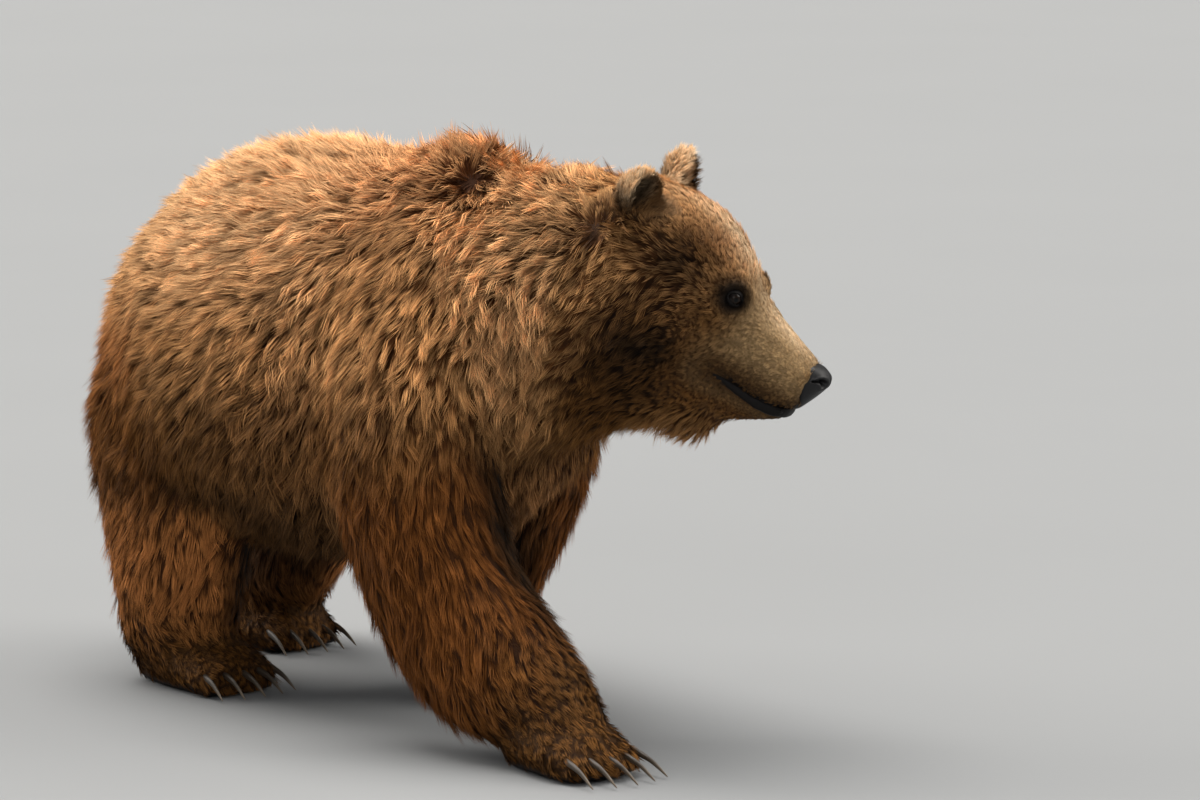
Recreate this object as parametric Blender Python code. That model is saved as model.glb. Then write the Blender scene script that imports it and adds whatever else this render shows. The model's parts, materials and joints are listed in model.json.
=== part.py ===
"""A life-size museum model of a brown bear, walking, as solids that reach to the tips of its coat.

Metres. +X runs forward along the back, +Y to the bear's left, +Z up; the soles stand at Z = 0.
The body is blocked out from swept forms and ellipsoids, fused into one skin, and parted by thin cuts.
"""

import math

import bmesh
import bpy
import numpy as np
from mathutils import Euler, Matrix, Vector

# ---------------------------------------------------------------- driving sizes
WITHERS = 0.92  # height of the hump, to the tips of its hair
HUMP_X = 0.28
HEAD_AT = Vector((0.760, 0.150, 0.722))  # the point midway between the eyes
HEAD_YAW = math.radians(34)  # the head looks to the bear's left
HEAD_PITCH = math.radians(34)  # and down
HEAD_ROLL = math.radians(2.2)
GAP = 0.0004  # width of each parting cut

VOXEL = 0.007
BODY_ROUNDS = 80
SMOOTH_ROUNDS = 13
FIRST_TRIANGLES = 4000
SKIN_TRIANGLES = 2120
HEAD_REACH = 0.30  # what lies this near the point between the eyes keeps its triangles
LIMB_MARGIN = 0.022
LIMB_SHIFT = 0.035
TAIL_ROOT, RUMP_CUT, CHEST_CUT, NECK_CUT = -0.494, -0.17, 0.11, 0.42
EAR_ROOT = -0.024
RING_SIDES = 40
RING_STEPS = 6

RIGHT, LEFT = -1, 1
SIDE_NAMES = {RIGHT: "right", LEFT: "left"}


# ---------------------------------------------------------------- scene helpers
def clear_scene():
    for obj in list(bpy.data.objects):
        bpy.data.objects.remove(obj, do_unlink=True)


def material(name, colour, roughness):
    made = bpy.data.materials.new(name)
    made.use_nodes = True
    shader = made.node_tree.nodes["Principled BSDF"]
    shader.inputs["Base Color"].default_value = (*colour, 1.0)
    shader.inputs["Roughness"].default_value = roughness
    return made


def object_from(name, bm, finish=None):
    """Turns a bmesh into a linked object with its faces pointing out."""
    bm.normal_update()  # a transformed bmesh still holds its old normals
    bmesh.ops.recalc_face_normals(bm, faces=bm.faces)
    mesh = bpy.data.meshes.new(name)
    bm.to_mesh(mesh)
    bm.free()
    obj = bpy.data.objects.new(name, mesh)
    bpy.context.scene.collection.objects.link(obj)
    if finish:
        mesh.materials.append(finish)
    return obj


def apply_modifiers(obj):
    bpy.context.view_layer.update()
    graph = bpy.context.evaluated_depsgraph_get()
    mesh = bpy.data.meshes.new_from_object(obj.evaluated_get(graph))
    obj.modifiers.clear()
    obj.data = mesh


def boolean(target, cutter, operation):
    modifier = target.modifiers.new(operation, "BOOLEAN")
    modifier.operation = operation
    modifier.solver = "EXACT"
    modifier.object = cutter
    apply_modifiers(target)


def duplicate(obj, name):
    copy = bpy.data.objects.new(name, obj.data.copy())
    bpy.context.scene.collection.objects.link(copy)
    return copy


def discard(*objects):
    for obj in objects:
        bpy.data.objects.remove(obj, do_unlink=True)


def joined(name, objects):
    """One object holding the meshes of all the given ones."""
    bm = bmesh.new()
    for obj in objects:
        bm.from_mesh(obj.data)
    discard(*objects)
    return object_from(name, bm)


# ---------------------------------------------------------------- swept forms
def smooth_run(stations, steps):
    """Catmull-Rom through the stations, each a row of numbers."""
    rows = np.array(stations, float)
    padded = np.vstack([2 * rows[0] - rows[1], rows, 2 * rows[-1] - rows[-2]])
    run = []
    for i in range(1, len(padded) - 2):
        a, b, c, d = padded[i - 1 : i + 3]
        for k in range(steps):
            t = k / steps
            run.append(
                0.5 * (2 * b + (c - a) * t + (2 * a - 5 * b + 4 * c - d) * t**2
                       + (3 * b - a - 3 * c + d) * t**3)
            )
    run.append(rows[-1])
    return np.array(run)


def with_rounded_ends(run, start_cap, end_cap, steps=4):
    """Adds rings that shrink along a quarter ellipse past each end."""
    rows = [row.copy() for row in run]
    first, last = rows[0].copy(), rows[-1].copy()
    start_way = rows[0][:3] - rows[1][:3]
    end_way = rows[-1][:3] - rows[-2][:3]
    start_way /= np.linalg.norm(start_way)
    end_way /= np.linalg.norm(end_way)
    for k in range(1, steps + 1):
        angle = math.pi / 2 * k / steps
        for base, way, cap, at_start in (
            (first, start_way, start_cap, True),
            (last, end_way, end_cap, False),
        ):
            row = base.copy()
            row[:3] += way * cap * math.sin(angle)
            row[3:6] *= max(math.cos(angle), 0.02)
            rows.insert(0, row) if at_start else rows.append(row)
    return np.array(rows)


def sweep(name, stations, caps=(0.05, 0.05), grow=0.0, sides=RING_SIDES, steps=RING_STEPS):
    """A closed form through stations of (x, y, z, half width, rise, drop, egg).

    Each ring is square to the path. Its width lies across the body, its rise and drop above and below
    a form that runs forward, before and behind one that runs down. A positive egg makes the rise side
    narrower than the drop side.
    """
    run = smooth_run(stations, steps)
    run[:, 3:6] += grow
    run = with_rounded_ends(run, caps[0] + grow, caps[1] + grow, 4 if sides == RING_SIDES else 1)
    bm = bmesh.new()
    rings = []
    for i, (x, y, z, half_width, rise, drop, egg) in enumerate(run):
        ahead = Vector(run[min(i + 1, len(run) - 1), :3] - run[max(i - 1, 0), :3]).normalized()
        across = Vector((0, 1, 0))
        across = (across - ahead * across.dot(ahead)).normalized()
        up = ahead.cross(across)
        ring = []
        for k in range(sides):
            angle = 2 * math.pi * k / sides
            height = math.sin(angle)
            width = half_width * math.cos(angle) * (1 - egg * height)
            reach = (rise if height > 0 else drop) * height
            ring.append(bm.verts.new(Vector((x, y, z)) + across * width + up * reach))
        rings.append(ring)
    for ring, following in zip(rings, rings[1:]):
        for k in range(sides):
            after = (k + 1) % sides
            bm.faces.new((ring[k], ring[after], following[after], following[k]))
    bm.faces.new(rings[0])
    bm.faces.new(rings[-1])
    return object_from(name, bm)


def ellipsoid(name, centre, radii, turn=(0, 0, 0), grow=0.0, detail=4):
    """An ellipsoid. Its turn is in degrees about X, Y and Z."""
    bm = bmesh.new()
    bmesh.ops.create_icosphere(bm, subdivisions=detail, radius=1.0)
    sizes = Matrix.Diagonal((*[r + grow for r in radii], 1.0))
    spin = Euler([math.radians(a) for a in turn]).to_matrix().to_4x4()
    bm.transform(Matrix.Translation(centre) @ spin @ sizes)
    return object_from(name, bm)


def block(name, low, high, place=Matrix.Identity(4), grow=0.0):
    """A box between two corners of the frame given by place."""
    bm = bmesh.new()
    bmesh.ops.create_cube(bm, size=1.0)
    low, high = Vector(low), Vector(high)
    size = high - low + Vector((2 * grow,) * 3)
    bm.transform(place @ Matrix.Translation((low + high) / 2) @ Matrix.Diagonal((*size, 1.0)))
    return object_from(name, bm)


# ---------------------------------------------------------------- trunk and neck
# Stations run from the rump forward: x, y, z of the widest level, half width, rise, drop, egg.
BACK_LEVEL = 0.52
TRUNK = [
    (-0.42, -0.022, BACK_LEVEL, 0.165, 0.205, 0.21, 0.06),
    (-0.34, -0.020, BACK_LEVEL, 0.230, 0.278, 0.26, 0.08),
    (-0.22, -0.012, BACK_LEVEL, 0.282, 0.342, 0.29, 0.10),
    (-0.07, -0.005, BACK_LEVEL, 0.302, 0.372, 0.30, 0.12),
    (0.09, 0.000, BACK_LEVEL, 0.292, 0.368, 0.30, 0.14),
    (HUMP_X - 0.09, 0.000, BACK_LEVEL, 0.275, 0.375, 0.27, 0.18),
    (HUMP_X, 0.000, BACK_LEVEL, 0.245, 0.412, 0.25, 0.26),
    (0.40, 0.010, BACK_LEVEL, 0.210, 0.385, 0.17, 0.20),
]
NECK = [
    (0.34, 0.000, 0.650, 0.205, 0.235, 0.240, 0.14),
    (0.46, 0.030, 0.672, 0.192, 0.215, 0.235, 0.08),
    (0.56, 0.062, 0.695, 0.175, 0.187, 0.220, 0.04),
    (0.64, 0.098, 0.708, 0.155, 0.160, 0.200, 0.00),
]

# ---------------------------------------------------------------- head
# The head's own frame: forward along the mouth's line, left, up, from midway between the eyes.
HEAD = [
    (-0.190, 0, -0.050, 0.128, 0.106, 0.170, 0.00),
    (-0.120, 0, -0.055, 0.134, 0.126, 0.185, 0.06),
    (-0.060, 0, -0.060, 0.116, 0.128, 0.195, 0.14),
    (-0.010, 0, -0.064, 0.089, 0.108, 0.196, 0.12),
    (0.040, 0, -0.070, 0.068, 0.076, 0.186, 0.04),
    (0.085, 0, -0.076, 0.058, 0.064, 0.150, -0.04),
    (0.128, 0, -0.082, 0.053, 0.059, 0.106, -0.10),
    (0.165, 0, -0.087, 0.048, 0.053, 0.066, -0.10),
]
CHEEK = dict(centre=(-0.092, 0.078, -0.135), radii=(0.096, 0.062, 0.118))
JOWL = dict(centre=(-0.012, 0.045, -0.165), radii=(0.092, 0.050, 0.076))
BROW = dict(centre=(0.000, 0.048, -0.008), radii=(0.046, 0.026, 0.026))
EAR = dict(centre=(-0.181, 0.106, 0.038), radii=(0.033, 0.048, 0.058), turn=(-24, -14, 34))
EAR_DISH = dict(centre=(0.034, 0.000, 0.004), radii=(0.022, 0.026, 0.034))
RUFF = dict(centre=(-0.070, 0.0, -0.225), radii=(0.120, 0.090, 0.072))
BEARD = dict(centre=(0.050, 0.0, -0.200), radii=(0.050, 0.044, 0.066))
NOSE = dict(centre=(0.173, 0.0, -0.069), radii=(0.029, 0.033, 0.031))
NOSTRIL = dict(centre=(0.201, 0.0150, -0.070), radii=(0.011, 0.0060, 0.0080), turn=(0, 0, 22))
EYE = dict(centre=(0.0135, 0.0560, -0.014), radii=(0.0120, 0.0120, 0.0120))
ORBIT = dict(centre=(0.0195, 0.0700, -0.014), radii=(0.0190, 0.0130, 0.0110), turn=(0, 0, -38))
# Where the lips part, as (forward, up): from the mouth's corner to beyond the front of the lips.
MOUTH_CORNER = (0.044, -0.116)
LIPS_AT_FRONT = (0.250, -0.116)
LIP_PARTING = 0.012


def head_frame():
    return (
        Matrix.Translation(HEAD_AT)
        @ Matrix.Rotation(HEAD_YAW, 4, "Z")
        @ Matrix.Rotation(HEAD_PITCH, 4, "Y")
        @ Matrix.Rotation(HEAD_ROLL, 4, "X")
    )


def head_place(spec, side=LEFT):
    """The keywords of an ellipsoid of the head for one side; they are given for the left."""
    turn = spec.get("turn", (0, 0, 0))
    return dict(
        centre=mirrored(spec["centre"], side),
        radii=spec["radii"],
        turn=(turn[0] * side, turn[1], turn[2] * side),
    )


def in_head(obj):
    obj.data.transform(head_frame())
    return obj


def mirrored(point, side):
    return (point[0], point[1] * side, point[2])


def head_masses():
    masses = [sweep("skull", HEAD, caps=(0.07, 0.020))]
    masses += [ellipsoid("throat_ruff", **RUFF), ellipsoid("beard", **BEARD)]
    for side in (RIGHT, LEFT):
        for spec in (CHEEK, JOWL, BROW, EAR):
            masses.append(ellipsoid("mass", **head_place(spec, side)))
    return [in_head(mass) for mass in masses]


def ear_frame(side):
    """The ear's own frame: forward out of its dish, across it, up to its tip."""
    place = head_place(EAR, side)
    turn = Euler([math.radians(a) for a in place["turn"]]).to_matrix().to_4x4()
    return head_frame() @ Matrix.Translation(place["centre"]) @ turn


# ---------------------------------------------------------------- limbs
TAIL = dict(centre=(-0.500, -0.030, 0.560), radii=(0.036, 0.038, 0.085), turn=(0, 14, 0))
# Each limb runs down: x, y, z, half width, front radius, back radius, egg. Its wrist or ankle is where
# the paw is parted off: a point, and the way on to the paw.
FORE = {
    RIGHT: dict(
        shoulder=[(0.32, -0.105, 0.74, 0.080, 0.12, 0.12, 0),
                  (0.33, -0.150, 0.60, 0.110, 0.155, 0.15, 0),
                  (0.37, -0.170, 0.45, 0.128, 0.15, 0.15, 0)],
        forearm=[(0.375, -0.170, 0.43, 0.128, 0.15, 0.15, 0),
                 (0.410, -0.165, 0.30, 0.122, 0.140, 0.145, 0),
                 (0.465, -0.155, 0.20, 0.110, 0.140, 0.145, 0),
                 (0.545, -0.145, 0.135, 0.100, 0.140, 0.130, 0),
                 (0.630, -0.135, 0.095, 0.088, 0.108, 0.085, 0),
                 (0.705, -0.135, 0.055, 0.078, 0.062, 0.050, 0)],
        wrist=((0.600, -0.135, 0.090), (1.0, 0, -0.45)),
        paw=dict(at=(0.695, -0.135), heading=0.0),
    ),
    LEFT: dict(
        shoulder=[(0.30, 0.105, 0.74, 0.080, 0.12, 0.12, 0),
                  (0.27, 0.150, 0.60, 0.110, 0.15, 0.15, 0),
                  (0.235, 0.165, 0.45, 0.128, 0.135, 0.15, 0)],
        forearm=[(0.235, 0.165, 0.43, 0.128, 0.135, 0.15, 0),
                 (0.185, 0.160, 0.30, 0.118, 0.120, 0.125, 0),
                 (0.145, 0.150, 0.19, 0.100, 0.105, 0.105, 0),
                 (0.125, 0.145, 0.09, 0.086, 0.090, 0.088, 0),
                 (0.135, 0.141, 0.035, 0.078, 0.085, 0.074, 0)],
        wrist=((0.140, 0.140, 0.110), (0.05, 0, -1.0)),
        paw=dict(at=(0.175, 0.14), heading=0.0),
    ),
}
HIND = {
    RIGHT: dict(
        thigh=[(-0.30, -0.130, 0.56, 0.105, 0.13, 0.12, 0),
               (-0.27, -0.160, 0.45, 0.125, 0.18, 0.160, 0),
               (-0.22, -0.178, 0.33, 0.120, 0.155, 0.170, 0)],
        shank=[(-0.22, -0.178, 0.33, 0.120, 0.155, 0.170, 0),
               (-0.225, -0.175, 0.21, 0.110, 0.135, 0.140, 0),
               (-0.248, -0.165, 0.11, 0.096, 0.122, 0.112, 0),
               (-0.240, -0.158, 0.040, 0.082, 0.115, 0.088, 0)],
        ankle=((-0.230, -0.155, 0.115), (0.05, 0, -1.0)),
        foot=dict(at=(-0.188, -0.155), heading=0.0),
    ),
    LEFT: dict(
        thigh=[(-0.33, 0.130, 0.56, 0.105, 0.13, 0.13, 0),
               (-0.30, 0.165, 0.45, 0.125, 0.18, 0.165, 0),
               (-0.30, 0.180, 0.33, 0.120, 0.155, 0.150, 0)],
        shank=[(-0.30, 0.180, 0.33, 0.120, 0.155, 0.150, 0),
               (-0.370, 0.172, 0.21, 0.104, 0.125, 0.118, 0),
               (-0.445, 0.160, 0.11, 0.092, 0.118, 0.100, 0),
               (-0.455, 0.153, 0.040, 0.080, 0.110, 0.082, 0)],
        ankle=((-0.445, 0.150, 0.115), (0.05, 0, -1.0)),
        foot=dict(at=(-0.425, 0.15), heading=0.0),
    ),
}
PAW_LENGTH = 0.23
FOOT_LENGTH = 0.26
SOLE_WIDTH = 0.165
TOES = (-0.064, -0.033, 0.0, 0.033, 0.064)  # across the foot
TOE_FAN = 4.2  # how far the outer toes sit back, per metre squared
TOE_RADII = (0.036, 0.0175, 0.027)
PAW_CLAW, FOOT_CLAW = 0.040, 0.026  # reach beyond the toe
CLAW_RADIUS = 0.0075
CLAW_HEIGHT, CLAW_TIP = 0.036, 0.006


def foot_frame(spec):
    """The foot's own frame: forward to the toes, left, up, from the middle of the sole."""
    x, y = spec["at"]
    turn = Matrix.Rotation(math.radians(spec["heading"]), 4, "Z")
    return Matrix.Translation((x, y, 0)) @ turn


def toe_reach(length, across):
    return length / 2 - 0.030 - TOE_FAN * across**2


def foot_mass(name, spec, length):
    """A plantigrade foot: a flattened form from heel to toes, with five toes at its front."""
    half = length / 2
    wide = SOLE_WIDTH / 2
    stations = [
        (-half + 0.03, 0, 0.045, wide * 0.85, 0.070, 0.056, 0.10),
        (-half + 0.09, 0, 0.045, wide * 0.98, 0.078, 0.058, 0.10),
        (half - 0.09, 0, 0.042, wide * 1.04, 0.050, 0.053, 0.10),
        (half - 0.05, 0, 0.036, wide * 0.98, 0.036, 0.046, 0.10),
    ]
    masses = [sweep(name, stations, caps=(0.03, 0.03))]
    for across in TOES:
        centre = (toe_reach(length, across), across, 0.024)
        masses.append(ellipsoid("toe", centre, TOE_RADII, detail=3))
    mass = joined(name, masses)
    mass.data.transform(foot_frame(spec))
    return mass


def claw(name, spec, length, across, reach, grow=0.0):
    """A curved claw, from inside its toe to its tip just above the floor."""
    start = toe_reach(length, across) + 0.002
    tip = toe_reach(length, across) + TOE_RADII[0] + reach
    stations = []
    for t in (0.0, 0.55, 1.0):
        radius = CLAW_RADIUS * (1 - 0.75 * t**1.5)
        height = CLAW_TIP + (CLAW_HEIGHT - CLAW_TIP) * (1 - t**2)
        spread = across * (1 + 0.12 * t)
        stations.append((start + (tip - start) * t, spread, height, radius * 0.7, radius, radius, 0.1))
    nail = sweep(name, stations, caps=(0.003, 0.002), grow=grow, sides=5, steps=1)
    nail.data.transform(foot_frame(spec))
    return nail


def limb_masses():
    masses = []
    for side in (RIGHT, LEFT):
        fore, hind = FORE[side], HIND[side]
        masses.append(sweep("shoulder", fore["shoulder"], caps=(0.09, 0.05)))
        masses.append(sweep("forearm", fore["forearm"], caps=(0.05, 0.03)))
        masses.append(sweep("thigh", hind["thigh"], caps=(0.08, 0.05)))
        masses.append(sweep("shank", hind["shank"], caps=(0.05, 0.03)))
    return masses


def foot_masses():
    masses = []
    for side in (RIGHT, LEFT):
        masses.append(foot_mass("paw", FORE[side]["paw"], PAW_LENGTH))
        masses.append(foot_mass("foot", HIND[side]["foot"], FOOT_LENGTH))
    return masses


def fused(name, masses, voxel, rounds):
    """The masses as one closed skin, smoothed."""
    skin = joined(name, masses)
    fuse = skin.modifiers.new("Fuse", "REMESH")
    fuse.mode = "VOXEL"
    fuse.voxel_size = voxel
    soften = skin.modifiers.new("Soften", "SMOOTH")
    soften.factor = 0.5
    soften.iterations = rounds
    apply_modifiers(skin)
    return skin


def tail_mass():
    return ellipsoid("tail", **TAIL)


def decimated(skin, ratio, spared=None):
    thin = skin.modifiers.new("Thin", "DECIMATE")
    thin.ratio = ratio
    if spared:
        thin.vertex_group = spared
    apply_modifiers(skin)


def thinned(skin):
    """Fewer triangles: evenly at first, then only behind the head, which keeps its own."""
    skin.data.calc_loop_triangles()
    decimated(skin, FIRST_TRIANGLES / len(skin.data.loop_triangles))
    behind = skin.vertex_groups.new(name="behind_the_head")
    away = [v.index for v in skin.data.vertices if (v.co - HEAD_AT).length > HEAD_REACH]
    behind.add(away, 1.0, "REPLACE")
    skin.data.calc_loop_triangles()
    decimated(skin, SKIN_TRIANGLES / len(skin.data.loop_triangles), behind.name)
    skin.vertex_groups.clear()


def whole_bear():
    """All the masses, fused into one smooth closed skin that stands flat on its soles."""
    body = [sweep("trunk", TRUNK, caps=(0.09, 0.05)), sweep("neck", NECK, caps=(0.04, 0.04))]
    body = fused("body", body + limb_masses() + [tail_mass()], VOXEL, BODY_ROUNDS)
    skin = fused("skin", [body] + head_masses() + foot_masses(), VOXEL, SMOOTH_ROUNDS)
    thinned(skin)
    cut(skin, block("floor", (-2, -2, -1), (2, 2, 0)))
    return skin


# ---------------------------------------------------------------- parting the skin into nodes
def biggest_piece(obj):
    """Drops any crumb a cut has left beside the main body."""
    bm = bmesh.new()
    bm.from_mesh(obj.data)
    waiting, pieces = set(bm.verts), []
    while waiting:
        piece, front = set(), [waiting.pop()]
        while front:
            vertex = front.pop()
            piece.add(vertex)
            for edge in vertex.link_edges:
                other = edge.other_vert(vertex)
                if other in waiting:
                    waiting.discard(other)
                    front.append(other)
        pieces.append(piece)
    pieces.sort(key=len)
    for piece in pieces[:-1]:
        bmesh.ops.delete(bm, geom=list(piece), context="VERTS")
    bm.to_mesh(obj.data)
    bm.free()


def cut(target, cutter):
    boolean(target, cutter, "DIFFERENCE")
    discard(cutter)


def parted(skin, name, cutter):
    """The share of the skin inside the cutter, as its own node. cutter(grow) makes the cutting form."""
    piece = duplicate(skin, name)
    inside = cutter(0.0)
    boolean(piece, inside, "INTERSECT")
    discard(inside)
    cut(skin, cutter(GAP))
    biggest_piece(piece)
    biggest_piece(skin)
    return piece


def facing(at, ahead):
    """A frame at a point with X along ahead and Y kept level."""
    x = Vector(ahead).normalized()
    y = Vector((0, 0, 1)).cross(x)
    y = y.normalized() if y.length > 1e-6 else Vector((0, 1, 0))
    z = x.cross(y)
    return Matrix.Translation(at) @ Matrix((x, y, z)).transposed().to_4x4()


def slab(place, across=0.6):
    """A cutting form: everything ahead of the frame's YZ plane."""
    return lambda grow: block("slab", (0, -across, -across), (across * 3, across, across), place, grow)


def hull(obj):
    """The same object, with the convex hull of its mesh."""
    bm = bmesh.new()
    bm.from_mesh(obj.data)
    made = bmesh.ops.convex_hull(bm, input=bm.verts, use_existing_faces=False)
    spare = {v for v in made["geom_interior"] if isinstance(v, bmesh.types.BMVert)}
    bmesh.ops.delete(bm, geom=list(spare), context="VERTS")
    bmesh.ops.delete(bm, geom=[f for f in bm.faces if f not in set(made["geom"])], context="FACES")
    bmesh.ops.recalc_face_normals(bm, faces=bm.faces)
    bm.to_mesh(obj.data)
    bm.free()
    return obj


def limb_cutter(stations, caps):
    """The hull of a limb's own form, a little larger, and set outward where it lies along the trunk."""
    rows = []
    for x, y, z, half_width, front, back, egg in stations:
        beside_trunk = min(1.0, max(0.0, (z - 0.30) / 0.15))
        shift = math.copysign(LIMB_SHIFT * beside_trunk, y)
        rows.append((x, y + shift, z, half_width, front, back, egg))
    return lambda grow: hull(sweep("limb", rows, caps, grow=LIMB_MARGIN + grow, sides=10, steps=1))


def lower_jaw_cutter(grow):
    """Under the parting of the lips, which opens from the mouth's corner to the front."""
    corner_x, corner_z = MOUTH_CORNER
    front_x, front_z = LIPS_AT_FRONT
    opened = LIP_PARTING / 2 * (1 if grow else -1)
    outline = [
        (corner_x - grow, corner_z + grow),
        (front_x, front_z + opened),
        (front_x, -0.40),
        (-0.045 - grow, -0.40),
        (-0.045 - grow, -0.200),
    ]
    bm = bmesh.new()
    left = [bm.verts.new((x, 0.12, z)) for x, z in outline]
    right = [bm.verts.new((x, -0.12, z)) for x, z in outline]
    bm.faces.new(left)
    bm.faces.new(right)
    for k in range(len(outline)):
        after = (k + 1) % len(outline)
        bm.faces.new((left[k], left[after], right[after], right[k]))
    return in_head(object_from("jaw", bm))


def part_limbs(skin):
    nodes = {}
    for side in (RIGHT, LEFT):
        where = SIDE_NAMES[side]
        fore, hind = FORE[side], HIND[side]
        for name, spec, wrist in (
            ("forepaw", fore["paw"], fore["wrist"]),
            ("hindpaw", hind["foot"], hind["ankle"]),
        ):
            node = parted(skin, f"{name}_{where}", slab(facing(*wrist), 0.145))
            nodes[node.name] = (node, spec)
        parted(skin, f"forearm_{where}", limb_cutter(fore["forearm"], (0.05, 0.08)))
        parted(skin, f"shank_{where}", limb_cutter(hind["shank"], (0.05, 0.08)))
        parted(skin, f"upper_arm_{where}", limb_cutter(fore["shoulder"], (0.09, 0.05)))
        parted(skin, f"thigh_{where}", limb_cutter(hind["thigh"], (0.08, 0.05)))
    return nodes


def part_trunk(skin):
    """What is left once the limbs are off: the trunk, from the tail forward to the head."""
    parted(skin, "tail", slab(facing((TAIL_ROOT, -0.030, 0.555), (-1, 0, 0)), 0.080))
    head = parted(skin, "head", slab(facing(head_frame() @ Vector((-0.235, 0, -0.05)),
                                            Matrix.Rotation(HEAD_YAW, 3, "Z") @ Vector((1, 0, -0.22)))))
    parted(skin, "neck", slab(facing((NECK_CUT, 0, 0.6), (1, 0.05, 0.12))))
    parted(skin, "chest", slab(facing((CHEST_CUT, 0, 0.5), (1, 0, 0))))
    parted(skin, "rump", slab(facing((RUMP_CUT, 0, 0.5), (-1, 0, 0))))
    skin.name = "belly"
    return head


def finish_head(head):
    for side in (RIGHT, LEFT):
        where = SIDE_NAMES[side]
        place = ear_frame(side)
        ear = parted(head, f"ear_{where}", lambda grow: block("ear", (-0.055, -0.058, EAR_ROOT), (0.075, 0.058, 0.12), place, grow))
        dish = ellipsoid("dish", **EAR_DISH, detail=2)
        dish.data.transform(place)
        cut(ear, dish)
    parted(head, "lower_jaw", lower_jaw_cutter)
    nose = in_head(ellipsoid("nose", **NOSE, detail=2))
    cut(head, in_head(ellipsoid("pocket", **NOSE, grow=GAP, detail=2)))
    for side in (RIGHT, LEFT):
        cut(nose, in_head(ellipsoid("nostril", **head_place(NOSTRIL, side), detail=2)))
        in_head(ellipsoid(f"eye_{SIDE_NAMES[side]}", **head_place(EYE, side), detail=2))
        cut(head, in_head(ellipsoid("socket", **head_place(EYE, side), grow=GAP, detail=2)))
        cut(head, in_head(ellipsoid("orbit", **head_place(ORBIT, side), detail=2)))
    biggest_piece(head)


def add_claws(feet):
    for name, (node, spec) in feet.items():
        fore = name.startswith("forepaw")
        length, reach = (PAW_LENGTH, PAW_CLAW) if fore else (FOOT_LENGTH, FOOT_CLAW)
        for k, across in enumerate(TOES):
            claw(f"{name.replace('paw', 'claw')}_{k + 1}", spec, length, across, reach)
            cut(node, claw("pocket", spec, length, across, reach, GAP))


# ---------------------------------------------------------------- materials
COAT = {
    "head": (0.300, 0.190, 0.090),
    "lower_jaw": (0.230, 0.130, 0.060),
    "ear": (0.260, 0.150, 0.070),
    "neck": (0.160, 0.075, 0.030),
    "chest": (0.220, 0.100, 0.038),
    "belly": (0.260, 0.130, 0.052),
    "rump": (0.300, 0.155, 0.062),
    "tail": (0.240, 0.120, 0.050),
    "upper_arm": (0.170, 0.070, 0.028),
    "forearm": (0.130, 0.050, 0.022),
    "thigh": (0.180, 0.078, 0.032),
    "shank": (0.120, 0.048, 0.022),
    "forepaw": (0.090, 0.040, 0.020),
    "hindpaw": (0.085, 0.038, 0.020),
}
BARE = {
    "nose": ("nose_leather", (0.012, 0.011, 0.012), 0.42),
    "eye": ("eye_surface", (0.020, 0.009, 0.004), 0.08),
    "foreclaw": ("claw_horn", (0.060, 0.040, 0.026), 0.38),
    "hindclaw": ("claw_horn", (0.060, 0.040, 0.026), 0.38),
}


def clothe():
    """Gives every node its material."""
    made = {}
    for obj in bpy.data.objects:
        kind = next(k for k in sorted([*COAT, *BARE], key=len, reverse=True) if obj.name.startswith(k))
        name, colour, roughness = BARE.get(kind, (f"coat_{kind}", COAT.get(kind), 0.9))
        made[name] = made.get(name) or material(name, colour, roughness)
        obj.data.materials.clear()
        obj.data.materials.append(made[name])


def centre_on_origin():
    """Sets the middle of the bounding box's underside on the world's origin."""
    corners = np.array([v.co for obj in bpy.data.objects for v in obj.data.vertices])
    low, high = corners.min(axis=0), corners.max(axis=0)
    shift = Matrix.Translation((-(low[0] + high[0]) / 2, -(low[1] + high[1]) / 2, -low[2]))
    for obj in bpy.data.objects:
        obj.data.transform(shift)
        for polygon in obj.data.polygons:
            polygon.use_smooth = True


def main():
    clear_scene()
    skin = whole_bear()
    feet = part_limbs(skin)
    finish_head(part_trunk(skin))
    add_claws(feet)
    clothe()
    centre_on_origin()


main()
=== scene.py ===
"""A brown bear walking, as a still life-size model: its skin, coat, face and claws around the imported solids.

Lengths are in metres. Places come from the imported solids' boxes, or from the head's own frame: forward
along the muzzle, left and up, from the point midway between the eyes.
"""

import json
import math
import random
from typing import NamedTuple

import bmesh
import bpy
import numpy as np
from mathutils import Matrix, Vector
from mathutils.bvhtree import BVHTree

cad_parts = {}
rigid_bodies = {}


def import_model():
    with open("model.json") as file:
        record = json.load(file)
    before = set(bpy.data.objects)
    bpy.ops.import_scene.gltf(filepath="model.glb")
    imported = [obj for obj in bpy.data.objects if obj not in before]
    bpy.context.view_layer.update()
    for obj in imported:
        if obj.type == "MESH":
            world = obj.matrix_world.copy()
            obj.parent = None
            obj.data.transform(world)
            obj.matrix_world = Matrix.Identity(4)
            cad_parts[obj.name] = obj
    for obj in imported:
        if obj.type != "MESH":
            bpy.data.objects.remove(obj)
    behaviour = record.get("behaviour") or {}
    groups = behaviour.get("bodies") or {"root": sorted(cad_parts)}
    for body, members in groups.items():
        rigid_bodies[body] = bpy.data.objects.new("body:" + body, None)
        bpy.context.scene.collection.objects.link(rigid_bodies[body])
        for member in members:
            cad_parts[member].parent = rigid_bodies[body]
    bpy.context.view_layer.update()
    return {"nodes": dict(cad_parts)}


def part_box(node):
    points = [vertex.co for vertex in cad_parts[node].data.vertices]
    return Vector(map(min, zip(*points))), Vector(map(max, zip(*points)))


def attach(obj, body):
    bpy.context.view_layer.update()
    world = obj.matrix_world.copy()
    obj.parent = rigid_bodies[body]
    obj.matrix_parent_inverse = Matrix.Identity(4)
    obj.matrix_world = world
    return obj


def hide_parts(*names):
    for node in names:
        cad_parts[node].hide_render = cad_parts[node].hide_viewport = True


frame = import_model()

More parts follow.
